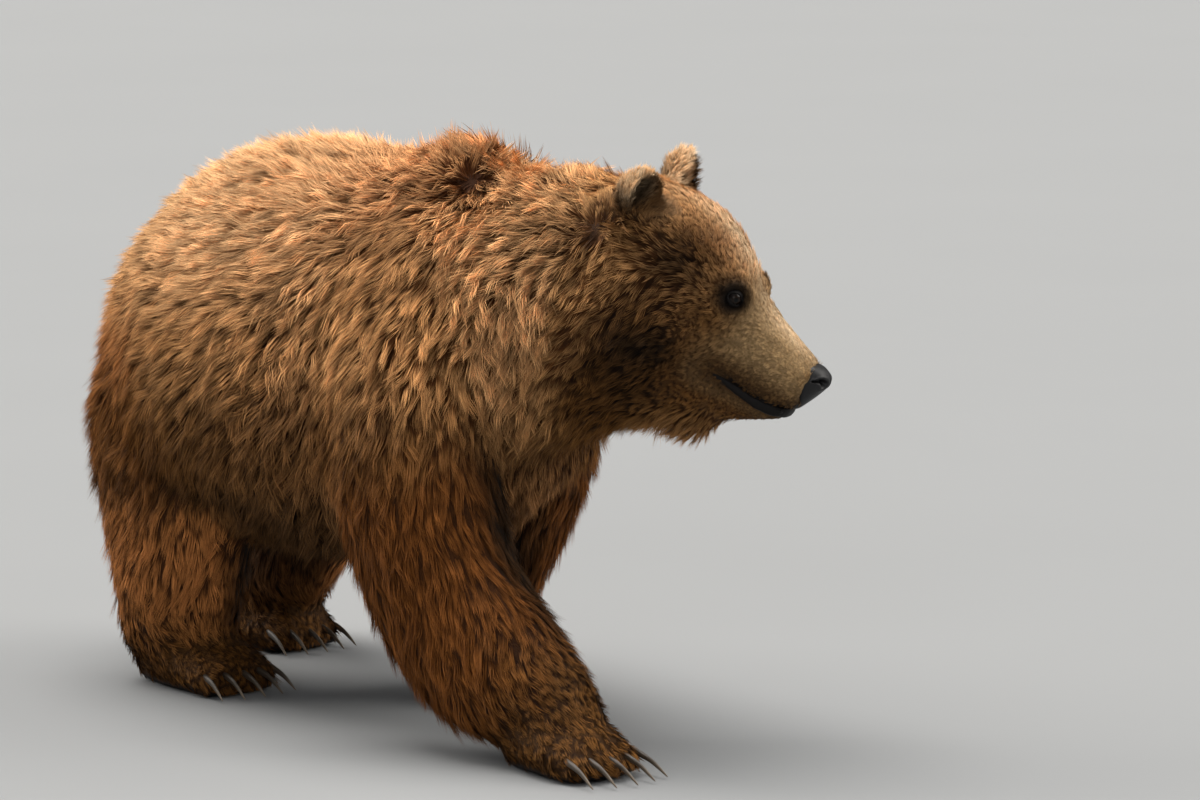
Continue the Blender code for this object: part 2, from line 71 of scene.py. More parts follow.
BODY = "root"
RIGHT, LEFT = -1, 1
SIDE_NAMES = {RIGHT: "right", LEFT: "left"}


# ---------------------------------------------------------------- places
def middle(node):
    low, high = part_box(node)
    return (low + high) / 2


HEAD_YAW, HEAD_PITCH, HEAD_ROLL = math.radians(34), math.radians(34), math.radians(2.2)
HEAD_TURN = (
    Matrix.Rotation(HEAD_YAW, 3, "Z")
    @ Matrix.Rotation(HEAD_PITCH, 3, "Y")
    @ Matrix.Rotation(HEAD_ROLL, 3, "X")
)
HEAD_AXES = np.array(HEAD_TURN)  # its columns are forward, left and up
EYE = Vector((0.0135, 0.056, -0.014))  # the left eye in the head's frame
EYE_RADIUS = 0.012
GAZE = Vector((0.48, 0.85, 0.20)).normalized()  # the way the left eye faces
MOUTH_CORNER = 0.060  # how far forward of the eyes the mouth begins
LIP_FRONT = 0.172
MUZZLE_HALF = 0.08  # no part of the lips is further than this from the middle
LIPS_ROUND = 0.085  # the lips go round an upright line at this forward place
NOSE = Vector((0.168, 0.0, -0.071))
MUZZLE_SOURCE = Vector((0.25, 0.0, -0.055))  # the face's hair runs back from here
EAR_ROOT_DROP = 0.075
BEARD = Vector((0.050, 0.0, -0.225))
HUMP = Vector((0.118, 0.0, 0.900))
WHORL = Vector((0.205, 0.065, 0.878))  # where the hump's hair parts, on each side
BEHIND_EAR = Vector((-0.235, 0.120, -0.030))  # the dark parting behind the ear, in the head's frame
HEAD_AT = (middle("eye_left") + middle("eye_right")) / 2 - HEAD_TURN @ Vector((EYE.x, 0, EYE.z))


def in_head(points):
    """World points as (forward, left, up) from the point between the eyes."""
    return (points - np.array(HEAD_AT)) @ HEAD_AXES


def from_head(point):
    return HEAD_AT + HEAD_TURN @ Vector(point)


def mirrored(point, side):
    return Vector((point[0], point[1] * side, point[2]))


# ---------------------------------------------------------------- the coat's plan
# Each colour of hair is its tip, then its root. The darker root is partly the hair's own colour and partly
# painted shade deep between the hairs.
HAIR = {
    "gold": ((0.86, 0.53, 0.270), (0.58, 0.30, 0.125)),
    "honey": ((0.72, 0.38, 0.150), (0.130, 0.050, 0.015)),
    "amber": ((0.92, 0.52, 0.235), (0.090, 0.033, 0.010)),
    "rust": ((0.88, 0.44, 0.190), (0.150, 0.045, 0.013)),
    "tawny": ((0.50, 0.24, 0.086), (0.036, 0.013, 0.004)),
    "russet": ((0.52, 0.200, 0.058), (0.110, 0.039, 0.011)),
    "chestnut": ((0.205, 0.070, 0.015), (0.090, 0.030, 0.006)),
    "umber": ((0.17, 0.073, 0.018), (0.022, 0.010, 0.004)),
    "sable": ((0.036, 0.020, 0.009), (0.010, 0.006, 0.003)),
    "pitch": ((0.010, 0.007, 0.005), (0.005, 0.0035, 0.003)),
    "straw": ((0.92, 0.70, 0.46), (0.52, 0.34, 0.185)),
    "sand": ((0.46, 0.30, 0.145), (0.24, 0.148, 0.066)),
}


class Hair(NamedTuple):
    """One part's coat: its colours above and below (the lower mostly darker, partly as painted shade under the
    lit top), sizes of a tuft and a lock, and how it clumps.
    """

    upper: str
    lower: str
    length: float
    depth: float  # how far the coat stands over the skin
    width: float
    lock: float
    clump: float  # how tightly a lock's tips meet
    # dark: the root's colour stands partly for painted shade between the hairs
    dark: float  # how far the root's colour reaches up the hair
    tufts: int


COAT = {
    "head": Hair("honey", "umber", 0.015, 0.0065, 0.0050, 0.008, 0.30, 0.30, 9300),
    "lower_jaw": Hair("chestnut", "umber", 0.015, 0.0050, 0.0050, 0.008, 0.30, 0.30, 2300),
    "ear": Hair("straw", "umber", 0.022, 0.0115, 0.0050, 0.007, 0.15, 0.25, 3800),
    "neck": Hair("amber", "honey", 0.056, 0.0230, 0.0085, 0.0105, 0.92, 0.64, 5000),
    "chest": Hair("amber", "rust", 0.058, 0.0240, 0.0088, 0.0110, 0.88, 0.62, 6100),
    "belly": Hair("honey", "umber", 0.054, 0.0215, 0.0105, 0.015, 0.52, 0.42, 7200),
    "rump": Hair("honey", "russet", 0.048, 0.0210, 0.0105, 0.015, 0.45, 0.35, 5000),
    "tail": Hair("honey", "tawny", 0.056, 0.0200, 0.0120, 0.016, 0.60, 0.40, 320),
    "upper_arm": Hair("honey", "chestnut", 0.054, 0.0185, 0.0090, 0.014, 0.52, 0.42, 3400),
    "forearm": Hair("chestnut", "chestnut", 0.050, 0.0105, 0.0085, 0.014, 0.22, 0.22, 4150),
    "thigh": Hair("russet", "chestnut", 0.054, 0.0170, 0.0092, 0.015, 0.36, 0.42, 3400),
    "shank": Hair("russet", "russet", 0.046, 0.0105, 0.0088, 0.014, 0.26, 0.20, 3250),
    "forepaw": Hair("chestnut", "umber", 0.022, 0.0075, 0.0075, 0.010, 0.30, 0.30, 2400),
    "hindpaw": Hair("chestnut", "umber", 0.020, 0.0075, 0.0075, 0.010, 0.30, 0.30, 2400),
}
KINDS = list(COAT)
FACE, TRUNK = ("head", "lower_jaw"), ("neck", "chest", "belly", "rump")
SHORT = {"head", "lower_jaw", "ear", "forepaw", "hindpaw"}  # these wear the short tufts
WAVY = {"neck", "chest", "tail"}  # and these the long, wavy ones; the rest is straight and fine
HALVED = {"belly"}  # coats made as a left and a right piece
DOWN = (-0.18, 0.0, -1.0)
LIES = {"tail": DOWN, "forepaw": (0.90, 0.0, -0.45), "hindpaw": (0.90, 0.0, -0.45)}
# The lie low on the trunk and high on it, and the heights between which it turns.
TRUNK_LIES = (((-0.10, 0.0, -1.0), (-1.0, 0.0, -0.30), 0.66, 0.92, "neck", "chest"),
              ((-0.40, 0.0, -0.80), (-0.95, 0.0, -0.35), 0.42, 0.84, "belly", "rump"))
LIMBS = {"upper_arm": "forearm", "forearm": "forepaw", "thigh": "shank", "shank": "hindpaw"}
ALONG_LIMB, LIMB_FALL = 0.55, (-0.20, 0.0, -0.55)  # a limb's hair runs along it by so much, and falls


class Spot(NamedTuple):
    """A patch of another colour of hair, strongest at its centre. It counts for both sides."""

    hair: str
    on: str  # what wears it
    centre: tuple
    radii: tuple
    strength: float = 1.0


# Each table is laid over what stands before it. The body's places are the world's, the rest the head's.
BODY_SPOTS = {
    "hump": Spot("rust", "body", HUMP, (0.22, 0.30, 0.15), 0.95),
    "whorl": Spot("umber", "body", WHORL - Vector((0, 0, 0.012)), (0.065, 0.06, 0.045), 0.6),
    "shoulder": Spot("tawny", "body", (0.28, 0.27, 0.69), (0.12, 0.15, 0.09), 0.75),
}
# The cheek's dark patches are partly the fur's own colour and partly painted shade on the side of the face
# turned from the light.
CHEEK_SPOTS = {
    "cheek": Spot("umber", "face", (-0.075, 0.13, -0.11), (0.10, 0.12, 0.11), 0.9),
}
FACE_SPOTS = {
    "below eye": Spot("umber", "face", (0.004, 0.070, -0.056), (0.060, 0.05, 0.038), 0.85),
    "temple": Spot("sable", "face", (-0.065, 0.105, 0.004), (0.080, 0.06, 0.055), 0.95),
    "side of brow": Spot("umber", "face", (-0.058, 0.080, 0.030), (0.060, 0.050, 0.036), 0.75),
    "brow": Spot("rust", "face", (-0.035, 0.060, 0.048), (0.060, 0.035, 0.030), 0.35),
    # The pale crown and bridge are partly the fur's own colour and partly painted light on the top of the
    # head.
    "crown": Spot("straw", "face", (-0.010, 0.0, 0.060), (0.15, 0.044, 0.060)),
    "bridge": Spot("straw", "face", (0.10, 0.0, -0.015), (0.10, 0.034, 0.036), 0.85),
    # low cheek: partly dark fur, partly painted shade low on the side of the face
    "low cheek": Spot("sable", "face", (-0.055, 0.115, -0.130), (0.085, 0.08, 0.060)),
}
THROAT_AND_EAR_SPOTS = {
    "throat": Spot("sable", "face and trunk", (-0.04, 0.08, -0.21), (0.09, 0.10, 0.05), 0.5),
    "behind ear": Spot("sable", "face and trunk", BEHIND_EAR, (0.055, 0.06, 0.070), 0.6),
    "beard": Spot("honey", "all", BEARD, (0.065, 0.07, 0.060)),
    "under nose": Spot("sable", "face", (0.155, 0.0, -0.110), (0.035, 0.030, 0.020), 0.8),
    "ear root": Spot("umber", "face and ear", (-0.160, 0.105, 0.005), (0.055, 0.06, 0.035), 0.9),
}
SOCKET = (EYE.x - 0.003, EYE.y, EYE.z + 0.001)  # the middle of the dark ring round the left eye


def kind_of(node):
    return node.removesuffix("_left").removesuffix("_right")


FLESH = sorted(n for n in frame["nodes"] if kind_of(n) in COAT)


# ---------------------------------------------------------------- numbers over a mesh
def vectors(mesh, field):
    found = np.empty(len(mesh.vertices) * 3, np.float32)
    mesh.vertices.foreach_get(field, found)
    return found.reshape(-1, 3).astype(float)


def positions(mesh):
    return vectors(mesh, "co")


def triangles(mesh):
    """The vertices of each face of a mesh that has only triangles."""
    corners = np.empty(len(mesh.loops), np.int32)
    mesh.loops.foreach_get("vertex_index", corners)
    return corners.reshape(-1, 3)


def distance(points, centre):
    return np.linalg.norm(points - np.array(centre), axis=1)


def unit(rows):
    return rows / np.maximum(np.linalg.norm(rows, axis=1, keepdims=True), 1e-9)


def ramp(values, start, end):
    """0 before start, 1 after end, and smooth between them."""
    t = np.clip((values - start) / (end - start), 0, 1)
    return t * t * (3 - 2 * t)


def blend(first, second, share):
    """The first where the share is 0, the second where it is 1."""
    return first * (1 - share) + second * share


def near(points, centre, radii):
    """1 at the centre, falling smoothly to 0 a little beyond the radii."""
    return np.exp(-1.6 * (((points - np.array(centre)) / np.array(radii)) ** 2).sum(1))


class Spreader:
    """Averages values over a mesh's neighbouring vertices."""

    def __init__(self, mesh):
        ends = np.empty(len(mesh.edges) * 2, np.int32)
        mesh.edges.foreach_get("vertices", ends)
        ends = ends.reshape(-1, 2)
        self.count = len(mesh.vertices)
        self.start = np.concatenate([ends[:, 0], ends[:, 1]])
        self.end = np.concatenate([ends[:, 1], ends[:, 0]])
        self.share = 1 + np.bincount(self.start, minlength=self.count)

    def spread(self, values, rounds):
        columns = values.reshape(self.count, -1).copy()
        for _ in range(rounds):
            for i in range(columns.shape[1]):
                column = columns[:, i]
                total = np.bincount(self.start, column[self.end], minlength=self.count)
                columns[:, i] = (column + total) / self.share
        return columns.reshape(values.shape)


def worn(shares, *kinds):
    """How much of these parts' coats each vertex wears."""
    return shares[:, [KINDS.index(kind) for kind in kinds]].sum(1)


def store(mesh, name, values, kind="FLOAT"):
    """Keeps a number, vector or colour for each vertex under a name that the trees read."""
    attribute = mesh.attributes.get(name) or mesh.attributes.new(name, kind, "POINT")
    if kind == "FLOAT_COLOR":
        values = np.concatenate([values, np.ones((len(values), 1))], axis=1)
    field = {"FLOAT": "value", "FLOAT_VECTOR": "vector", "FLOAT_COLOR": "color"}[kind]
    attribute.data.foreach_set(field, values.astype(np.float32).ravel())


# ---------------------------------------------------------------- objects
def mesh_of(name, points, faces):
    mesh = bpy.data.meshes.new(name)
    mesh.from_pydata(points, [], faces)
    return mesh


def poured(name, mesh):
    """A plain mesh from one that was being edited."""
    data = bpy.data.meshes.new(name)
    mesh.to_mesh(data)
    mesh.free()
    return data


def linked(name, data):
    obj = bpy.data.objects.new(name, data)
    bpy.context.scene.collection.objects.link(obj)
    return obj


def settled(obj):
    """The object with its modifiers turned into plain mesh."""
    graph = bpy.context.evaluated_depsgraph_get()
    made = bpy.data.meshes.new_from_object(obj.evaluated_get(graph))
    old = obj.data
    obj.modifiers.clear()
    obj.data = made
    bpy.data.meshes.remove(old)
    return obj


def modify(obj, kind, **settings):
    modifier = obj.modifiers.new(kind.title(), kind)
    for key, value in settings.items():
        setattr(modifier, key, value)
    return modifier


def group(obj, name, weights):
    """A vertex group with a weight for each vertex."""
    made = obj.vertex_groups.new(name=name)
    steps = np.round(weights * 10).astype(int)
    for step in range(1, 11):
        made.add(np.nonzero(steps == step)[0].tolist(), step / 10, "REPLACE")
    return name


def welded_node(node):
    """The points and triangles of a CAD node, with the loose triangles' corners made one."""
    mesh = frame["nodes"][node].data
    mesh.calc_loop_triangles()
    faces = np.array([t.vertices for t in mesh.loop_triangles])
    points, index = np.unique(np.round(positions(mesh), 5), axis=0, return_inverse=True)
    return points, index.reshape(-1)[faces]


def finished(obj, nodes=(), material=None):
    """Rides the piece on the body, gives it the material if one is given, and hides the CAD nodes that it
    stands for.
    """
    if material is not None:
        obj.data.materials.clear()
        obj.data.materials.append(material)
    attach(obj, BODY)
    if nodes:
        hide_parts(*nodes)


# ---------------------------------------------------------------- node trees
class Wire:
    """An output socket that takes part in sums: each operator adds a Math node."""

    def __init__(self, graph, socket):
        self.graph, self.socket = graph, socket

    def maths(self, operation, *values):
        return self.graph.add("ShaderNodeMath", dict(operation=operation), dict(enumerate(values)))

    def sine(self):
        return self.maths("SINE", self)

    def __add__(self, other):
        return self.maths("ADD", self, other)

    def __sub__(self, other):
        return self.maths("SUBTRACT", self, other)

    def __mul__(self, other):
        return self.maths("MULTIPLY", self, other)

    def __truediv__(self, other):
        return self.maths("DIVIDE", self, other)

    def __pow__(self, other):
        return self.maths("POWER", self, other)

    def __rsub__(self, other):
        return self.maths("SUBTRACT", other, self)

    def __rtruediv__(self, other):
        return self.maths("DIVIDE", other, self)

    __radd__, __rmul__ = __add__, __mul__

    def over(self, low, high):
        """0 below low, 1 above high, smooth between."""
        settings = dict(interpolation_type="SMOOTHSTEP")
        return self.graph.add("ShaderNodeMapRange", settings, {0: self, 1: low, 2: high})


class Graph:
    """A node tree that is being built."""

    def __init__(self, tree):
        self.tree = tree

    def add(self, kind, settings=None, inputs=None, output=0):
        """A node of that type, set up, then fed; the wire comes from the output asked for."""
        node = self.tree.nodes.new(kind)
        for key, value in (settings or {}).items():
            setattr(node, key, value)
        for key, value in (inputs or {}).items():
            socket = node.inputs[key]
            if isinstance(value, Wire):
                self.tree.links.new(value.socket, socket)
            elif socket.type == "RGBA" and len(value) == 3:
                socket.default_value = (*value, 1)
            else:
                socket.default_value = value
        return Wire(self, node.outputs[output]) if node.outputs else None

    def vector(self, operation, *values, output=0):
        return self.add(
            "ShaderNodeVectorMath", dict(operation=operation), dict(enumerate(values)), output
        )

    def scaled(self, vector, by):
        return self.add("ShaderNodeVectorMath", dict(operation="SCALE"), {0: vector, "Scale": by})

    def mix(self, share, first, second):
        return self.add("ShaderNodeMix", dict(data_type="RGBA"), {0: share, 6: first, 7: second}, 2)


def named(graph, name, output=2):
    """A stored attribute in a shader: 0 is its colour, 1 its vector, 2 its number."""
    return graph.add("ShaderNodeAttribute", dict(attribute_name=name), output=output)


def own_place(graph):
    return graph.add("ShaderNodeTexCoord", output="Object")


def noise(graph, scale, detail=2.0, at=None):
    inputs = {"Vector": at or own_place(graph), "Scale": scale, "Detail": detail}
    return graph.add("ShaderNodeTexNoise", {}, inputs)


def bumps(graph, height, strength, depth):
    return graph.add("ShaderNodeBump", {}, {"Strength": strength, "Distance": depth, "Height": height})


# ---------------------------------------------------------------- materials
def hair_colours(graph):
    """The colours that skin and coat share, markings and painted shade together: the colour of the hair's root
    and of its tip.
    """
    root = named(graph, "root_colour", 0)
    tip = named(graph, "tip_colour", 0)
    broad = noise(graph, 9.0, 3.0).over(0.35, 0.65)
    return root, graph.mix(0.30 * broad, tip, root)


def coat_hair(graph):
    """The root's colour, partly painted shade deep in the coat, gives way to the tip's, strand by strand, tuft
    by tuft and lock by lock.
    """
    root, tip = hair_colours(graph)
    along, dark = named(graph, "along"), named(graph, "dark_reach")
    strand, tuft_tint, lock = (named(graph, n) for n in ("strand", "tuft_tint", "lock_tint"))
    # the dark root colour is partly painted shade between the hairs, and reaches further up the hair where
    # dark_reach is larger
    colour = graph.mix(along.over(0.04 + 0.46 * dark, 0.50 + 0.48 * dark), root, tip)
    # lock_tint holds each lock's own tint times the painted shade towards its edge
    bright = (0.68 + 0.64 * strand) * (0.80 + 0.34 * tuft_tint) * (0.52 + 0.98 * lock)
    return {"Base Color": graph.scaled(colour, bright)}


def streaks(graph, scale, stretch):
    """Noise drawn out along the lie of the hair."""
    at, lie = own_place(graph), named(graph, "lie", 1)
    along = graph.vector("DOT_PRODUCT", at, lie, output="Value")
    squeezed = graph.vector("SUBTRACT", at, graph.scaled(lie, along * (1 - 1 / stretch)))
    return noise(graph, scale, 3.0, squeezed)


def skin_fur(graph):
    """Short fur as colour and bump along its lie, painted shade where the skin shows under long hair, and dark
    hide where the skin is bare.
    """
    root, tip = hair_colours(graph)
    bare, short = named(graph, "bare"), named(graph, "short_hair")
    combed = streaks(graph, 800.0, 7.0).over(0.34, 0.66)
    # under long hair the skin takes a darkened root colour: painted shade deep in the coat
    under = graph.mix((0.30 + 0.6 * combed) * short, graph.scaled(root, 0.60), tip)
    grain = noise(graph, 900.0, 3.0)
    hide = graph.mix(grain, (0.0030, 0.0024, 0.0023), (0.0090, 0.0070, 0.0064))
    colour = graph.mix(bare, graph.scaled(under, 0.55 + 0.65 * combed), hide)
    wrinkles = noise(graph, 170.0, 3.0)
    height = combed * (1 - bare) + (grain * 0.4 + wrinkles) * bare
    relief = bumps(graph, height, 0.6, 0.0015)
    return {"Base Color": colour, "Roughness": 0.85 - 0.33 * bare, "Normal": relief}


def nose_leather(graph):
    """Black hide in small cobbles, glossier in places."""
    at = own_place(graph)
    cobbles = graph.add("ShaderNodeTexVoronoi", {}, {"Vector": at, "Scale": 620.0})
    fine = noise(graph, 1400.0, 2.0, at)
    patchy = noise(graph, 60.0, 3.0, at)
    colour = graph.mix(patchy, (0.0035, 0.0033, 0.0038), (0.0095, 0.0088, 0.0095))
    relief = bumps(graph, cobbles * 0.8 + fine * 0.3, 0.55, 0.0006)
    return {"Base Color": colour, "Roughness": 0.36 + 0.20 * patchy, "Normal": relief}


def eye_glass(graph):
    """Dark brown round a black pupil, by the angle from its middle."""
    out = named(graph, "from_pupil")
    fibres = noise(graph, 700.0)
    iris = graph.mix(fibres, (0.004, 0.0021, 0.0012), (0.013, 0.0058, 0.0026))
    rim = graph.mix(out.over(0.50, 0.62), iris, (0.006, 0.004, 0.0035))
    return {"Base Color": graph.mix(out.over(0.22, 0.28), (0.001, 0.001, 0.001), rim)}


def horn(graph):
    """Dark horn with a grain along the claw, paler to its tip."""
    along = named(graph, "along")
    inputs = {"Vector": own_place(graph), "Scale": (60.0, 500.0, 500.0)}
    grain = noise(graph, 1.0, 3.0, graph.add("ShaderNodeMapping", {}, inputs))
    dark = graph.mix(grain, (0.022, 0.015, 0.010), (0.058, 0.042, 0.028))
    colour = graph.mix(along.over(0.55, 1.0), dark, (0.115, 0.085, 0.056))
    relief = bumps(graph, grain, 0.3, 0.0006)
    return {"Base Color": colour, "Roughness": 0.36 + 0.2 * grain, "Normal": relief}


def cloudy_floor(graph):
    return {"Base Color": graph.mix(noise(graph, 1.2, 3.0), (0.180, 0.187, 0.194), (0.188, 0.195, 0.202))}


# What changes over each material's surface, and what is the same all over it.
MATERIALS = {
    "bear_coat": (coat_hair, {"Roughness": 0.6, "Specular IOR Level": 0.06}),
    "bear_skin": (skin_fur, {"Specular IOR Level": 0.13}),
    "nose_leather": (nose_leather, {"Specular IOR Level": 0.35}),
    "eye_surface": (eye_glass, {
        "Roughness": 0.30, "Specular IOR Level": 0.05, "Coat Weight": 0.22, "Coat Roughness": 0.03,
    }),
    "claw_horn": (horn, {}),
    "pale_floor": (cloudy_floor, {"Roughness": 0.9}),
}


def new_material(name):
    build, fixed = MATERIALS[name]
    material = bpy.data.materials.new(name)
    material.use_nodes = True
    material.node_tree.nodes.clear()
    graph = Graph(material.node_tree)
    shader = graph.add("ShaderNodeBsdfPrincipled", inputs=fixed)
    graph.add("ShaderNodeOutputMaterial", inputs={"Surface": shader})
    for socket, wire in build(graph).items():
        graph.tree.links.new(wire.socket, shader.socket.node.inputs[socket])
    return material


# ---------------------------------------------------------------- the skin's shape
SKIN_VOXEL = 0.004
SKIN_FLOOR_GAP, COAT_FLOOR_GAP = 0.0015, 0.002
KEPT_SHARE = 0.20  # of the remeshed faces, after the body is thinned
FACE_REACH = 0.27  # what lies this near the point between the eyes stays fine
# the upper colours are lighter and the lower darker: partly the coat's own colour, partly painted light on top
# and painted shade below
TRUNK_HEIGHTS = (0.35, 0.68)  # the upper colours take over from the lower between these levels
HEAD_HEIGHTS, EAR_HEIGHTS = (-0.14, -0.03), (0.005, 0.050)  # and between these on the head, in its frame
SHORT_HAIR = (0.012, 0.030)  # hair of the first length counts as short, and of the second as long
USUAL_WIDTH = 0.0110  # narrower tufts than this stand closer together, and wider ones further apart


def outer_skin():
    """One closed surface over every flesh node, fine on the head and coarser on the body."""
    points, faces, kinds, start = [], [], [], 0
    for node in FLESH:
        node_points, node_faces = welded_node(node)
        points.append(node_points)
        faces.append(node_faces + start)
        kinds += [KINDS.index(kind_of(node))] * len(node_faces)
        start += len(node_points)
    points, faces = np.concatenate(points), np.concatenate(faces)
    skin = linked("skin", mesh_of("skin", points, faces))
    modify(skin, "REMESH", mode="VOXEL", voxel_size=SKIN_VOXEL)
    settled(skin)
    away = distance(positions(skin.data), HEAD_AT)
    on_body = group(skin, "body", ramp(away, FACE_REACH - 0.03, FACE_REACH + 0.05))
    modify(skin, "SMOOTH", factor=0.5, iterations=5)
    modify(skin, "SMOOTH", factor=0.5, iterations=26, vertex_group=on_body)
    modify(skin, "DECIMATE", ratio=KEPT_SHARE, vertex_group=on_body)
    settled(skin)
    skin.vertex_groups.clear()
    tree = BVHTree.FromPolygons(points.tolist(), faces.tolist())
    return skin, tree, np.array(kinds)


def refined(skin):
    """Splits the faces round the eyes and along the lips: twice close to them, once a little further out."""
    for reach in (0.034, 0.022):
        local = in_head(positions(skin.data))
        close = distance(folded(local), EYE) < reach
        level = np.abs(local[:, 2] - mouth_line(local[:, 0]))
        ahead = (local[:, 0] > MOUTH_CORNER - 0.01) & (np.abs(local[:, 1]) < MUZZLE_HALF)
        close |= ahead & (level < reach - 0.014)
        mesh = bmesh.new()
        mesh.from_mesh(skin.data)
        mesh.verts.ensure_lookup_table()
        edges = [e for e in mesh.edges if close[e.verts[0].index] and close[e.verts[1].index]]
        bmesh.ops.subdivide_edges(mesh, edges=edges, cuts=1, use_grid_fill=True, smooth=0.4)
        bmesh.ops.triangulate(mesh, faces=mesh.faces)
        mesh.to_mesh(skin.data)
        mesh.free()


def part_shares(mesh, tree, kinds, spreader):
    """For each vertex, how much of each part's coat it wears, blended over the joins."""
    shares = np.zeros((len(mesh.vertices), len(KINDS)))
    for vertex in mesh.vertices:
        shares[vertex.index, kinds[tree.find_nearest(vertex.co)[2]]] = 1
    raw = shares.copy()
    shares = spreader.spread(shares, 14)
    return shares / shares.sum(1, keepdims=True), raw.argmax(1)


def folded(points):
    """The points with those on the right laid over the left."""
    laid = points.copy()
    laid[:, 1] = np.abs(laid[:, 1])
    return laid


def fanned(local, source):
    """The world's directions that lead away from a place in the head's frame."""
    return unit(local - np.array(source)) @ HEAD_AXES.T


def face_flow(local):
    """The hair of the face runs back from the muzzle, and falls below the bridge and on the cheek."""
    forward, _, up = local.T
    cheek = ramp(-forward, -0.02, 0.09) * ramp(-up, -0.03, 0.07)
    under_bridge = ramp(0.040 - 0.55 * forward - up, 0.012, 0.045)
    fall = 0.85 * under_bridge * ramp(forward, -0.03, 0.03) + 1.3 * cheek
    return fanned(local, MUZZLE_SOURCE) + fall[:, None] * np.array((0.0, 0.0, -1.0))


def lie_of(points, outward, shares):
    """The way the hair lies at each vertex, along the skin."""
    local = in_head(points)
    flow = np.zeros_like(points)
    for kind, lie in LIES.items():
        flow += worn(shares, kind)[:, None] * np.array(lie)
    for low, high, start, end, *kinds in TRUNK_LIES:
        height = ramp(points[:, 2], start, end)[:, None]
        flow += worn(shares, *kinds)[:, None] * blend(np.array(low), np.array(high), height)
    flow += worn(shares, *FACE)[:, None] * face_flow(local)
    for side, where in SIDE_NAMES.items():
        for kind, following in LIMBS.items():
            along = (middle(f"{following}_{where}") - middle(f"{kind}_{where}")).normalized()
            lie = np.array(along) * ALONG_LIMB + np.array(LIMB_FALL)
            flow += (worn(shares, kind) * (points[:, 1] * side > 0))[:, None] * lie
        whorl, behind_ear, eye = (mirrored(place, side) for place in (WHORL, BEHIND_EAR, EYE))
        pull = near(points, whorl, (0.15, 0.12, 0.11)) * (points[:, 1] * side > -0.01)
        flow = blend(flow, unit(points - np.array(whorl)), pull[:, None])
        pull = near(local, behind_ear, (0.075, 0.06, 0.065))
        flow = blend(flow, fanned(local, behind_ear), pull[:, None])
        pull = 1 - ramp(distance(local, eye), 0.014, 0.034)
        flow += fanned(local, eye) * 2.0 * pull[:, None]
        root = np.array(middle("ear_" + where)) - HEAD_AXES[:, 2] * EAR_ROOT_DROP
        ear = worn(shares, "ear") * (local[:, 1] * side > 0)
        flow = blend(flow, unit(points - root), ear[:, None])
    flow -= outward * (flow * outward).sum(1, keepdims=True)
    return unit(flow)


def markings(points, outward, shares, heights):
    """The hair's tip and root colour at each vertex: the parts' own colours, lighter above and darker below
    partly as painted light and shade, then each layer over them, some of them partly painted shade.
    """
    colours = [np.zeros_like(points), np.zeros_like(points)]
    for i, kind in enumerate(KINDS):
        for colour, upper, lower in zip(colours, HAIR[COAT[kind].upper], HAIR[COAT[kind].lower]):
            colour += blend(np.array(lower), np.array(upper), heights[:, None]) * shares[:, i : i + 1]
    trunk, face, ear = worn(shares, *TRUNK), worn(shares, *FACE), worn(shares, "ear")
    body = trunk + worn(shares, "upper_arm", "thigh")
    wearers = {
        "body": body, "face": face, "face and trunk": face + trunk, "face and ear": 0.7 * ear + face,
        "all": np.ones(len(points)),
    }

    def spots(table, places):
        for spot in table.values():
            yield spot.hair, wearers[spot.on] * near(places, spot.centre, spot.radii) * spot.strength

    ahead, _, height = points.T
    behind_shoulder, rump_fade = ramp(-ahead, -0.14, 0.06), 0.95 - 0.55 * ramp(-ahead, 0.30, 0.52)
    low_flank = ramp(-height, -0.82, -0.62) * ramp(-ahead, -0.34, -0.10)
    low_flank = low_flank * (1 - 0.8 * ramp(-ahead, 0.02, 0.26))
    under_belly = ramp(-height, -0.60, -0.46) * ramp(ahead, -0.60, -0.42)
    local = in_head(points)
    forward, _, up = local.T
    muzzle = face * ramp(forward, -0.005, 0.055) * ramp(up, -0.165, -0.125)
    to_socket = distance(folded(local), SOCKET)
    low_ear = 1 - ramp(up, 0.020, 0.055)
    front_of_ear = ramp(forward, -0.184, -0.160) * (1 - ramp(up, 0.078, 0.095))
    in_ear = np.maximum(ramp(outward @ HEAD_AXES[:, 0], 0.50, 0.85), low_ear * 0.35)
    inward = -outward[:, 1] * np.sign(points[:, 1])
    layers = [
        # lighter gold along the top and darker umber and sable low on the body and under the belly: partly the
        # coat's own colour, partly painted light on top and painted shade underneath
        ("gold", trunk * behind_shoulder * ramp(height, 0.58, 0.76) * rump_fade),
        ("tawny", trunk * low_flank * 0.80),
        ("umber", body * under_belly * 0.65),
        ("sable", body * ramp(-height, -0.42, -0.33) * 0.65),
        *spots(BODY_SPOTS, folded(points)),
        *spots(CHEEK_SPOTS, folded(local)),
        ("honey", face * ramp(-forward, 0.09, 0.17) * 0.85),
        ("sand", muzzle),
        # darker low on the muzzle towards the mouth: partly the muzzle's own colour, partly painted shade
        # under it
        ("umber", muzzle * (1 - ramp(up, -0.115, -0.058)) * 0.9),
        ("sable", muzzle * (1 - ramp(up, -0.118, -0.080)) * 0.6),
        *spots(FACE_SPOTS, folded(local)),
        ("sable", (1 - ramp(to_socket, 0.022, 0.038)) * 0.95),
        ("pitch", (1 - ramp(to_socket, 0.015, 0.028)) * 0.94),
        *spots(THROAT_AND_EAR_SPOTS, folded(local)),
        ("umber", ear * front_of_ear * 0.95),
        ("sable", ear * in_ear * 0.85),
        # painted shade: the inner side of each leg, facing the other leg, is darkened as the far foreleg lies
        # in the bear's own shadow
        ("sable", worn(shares, *LIMBS) * ramp(inward, -0.30, 0.42) * 0.92),
    ]
    for hair, share in layers:
        for colour, wanted in zip(colours, HAIR[hair]):
            colour += (np.array(wanted) - colour) * share[:, None]
    return colours


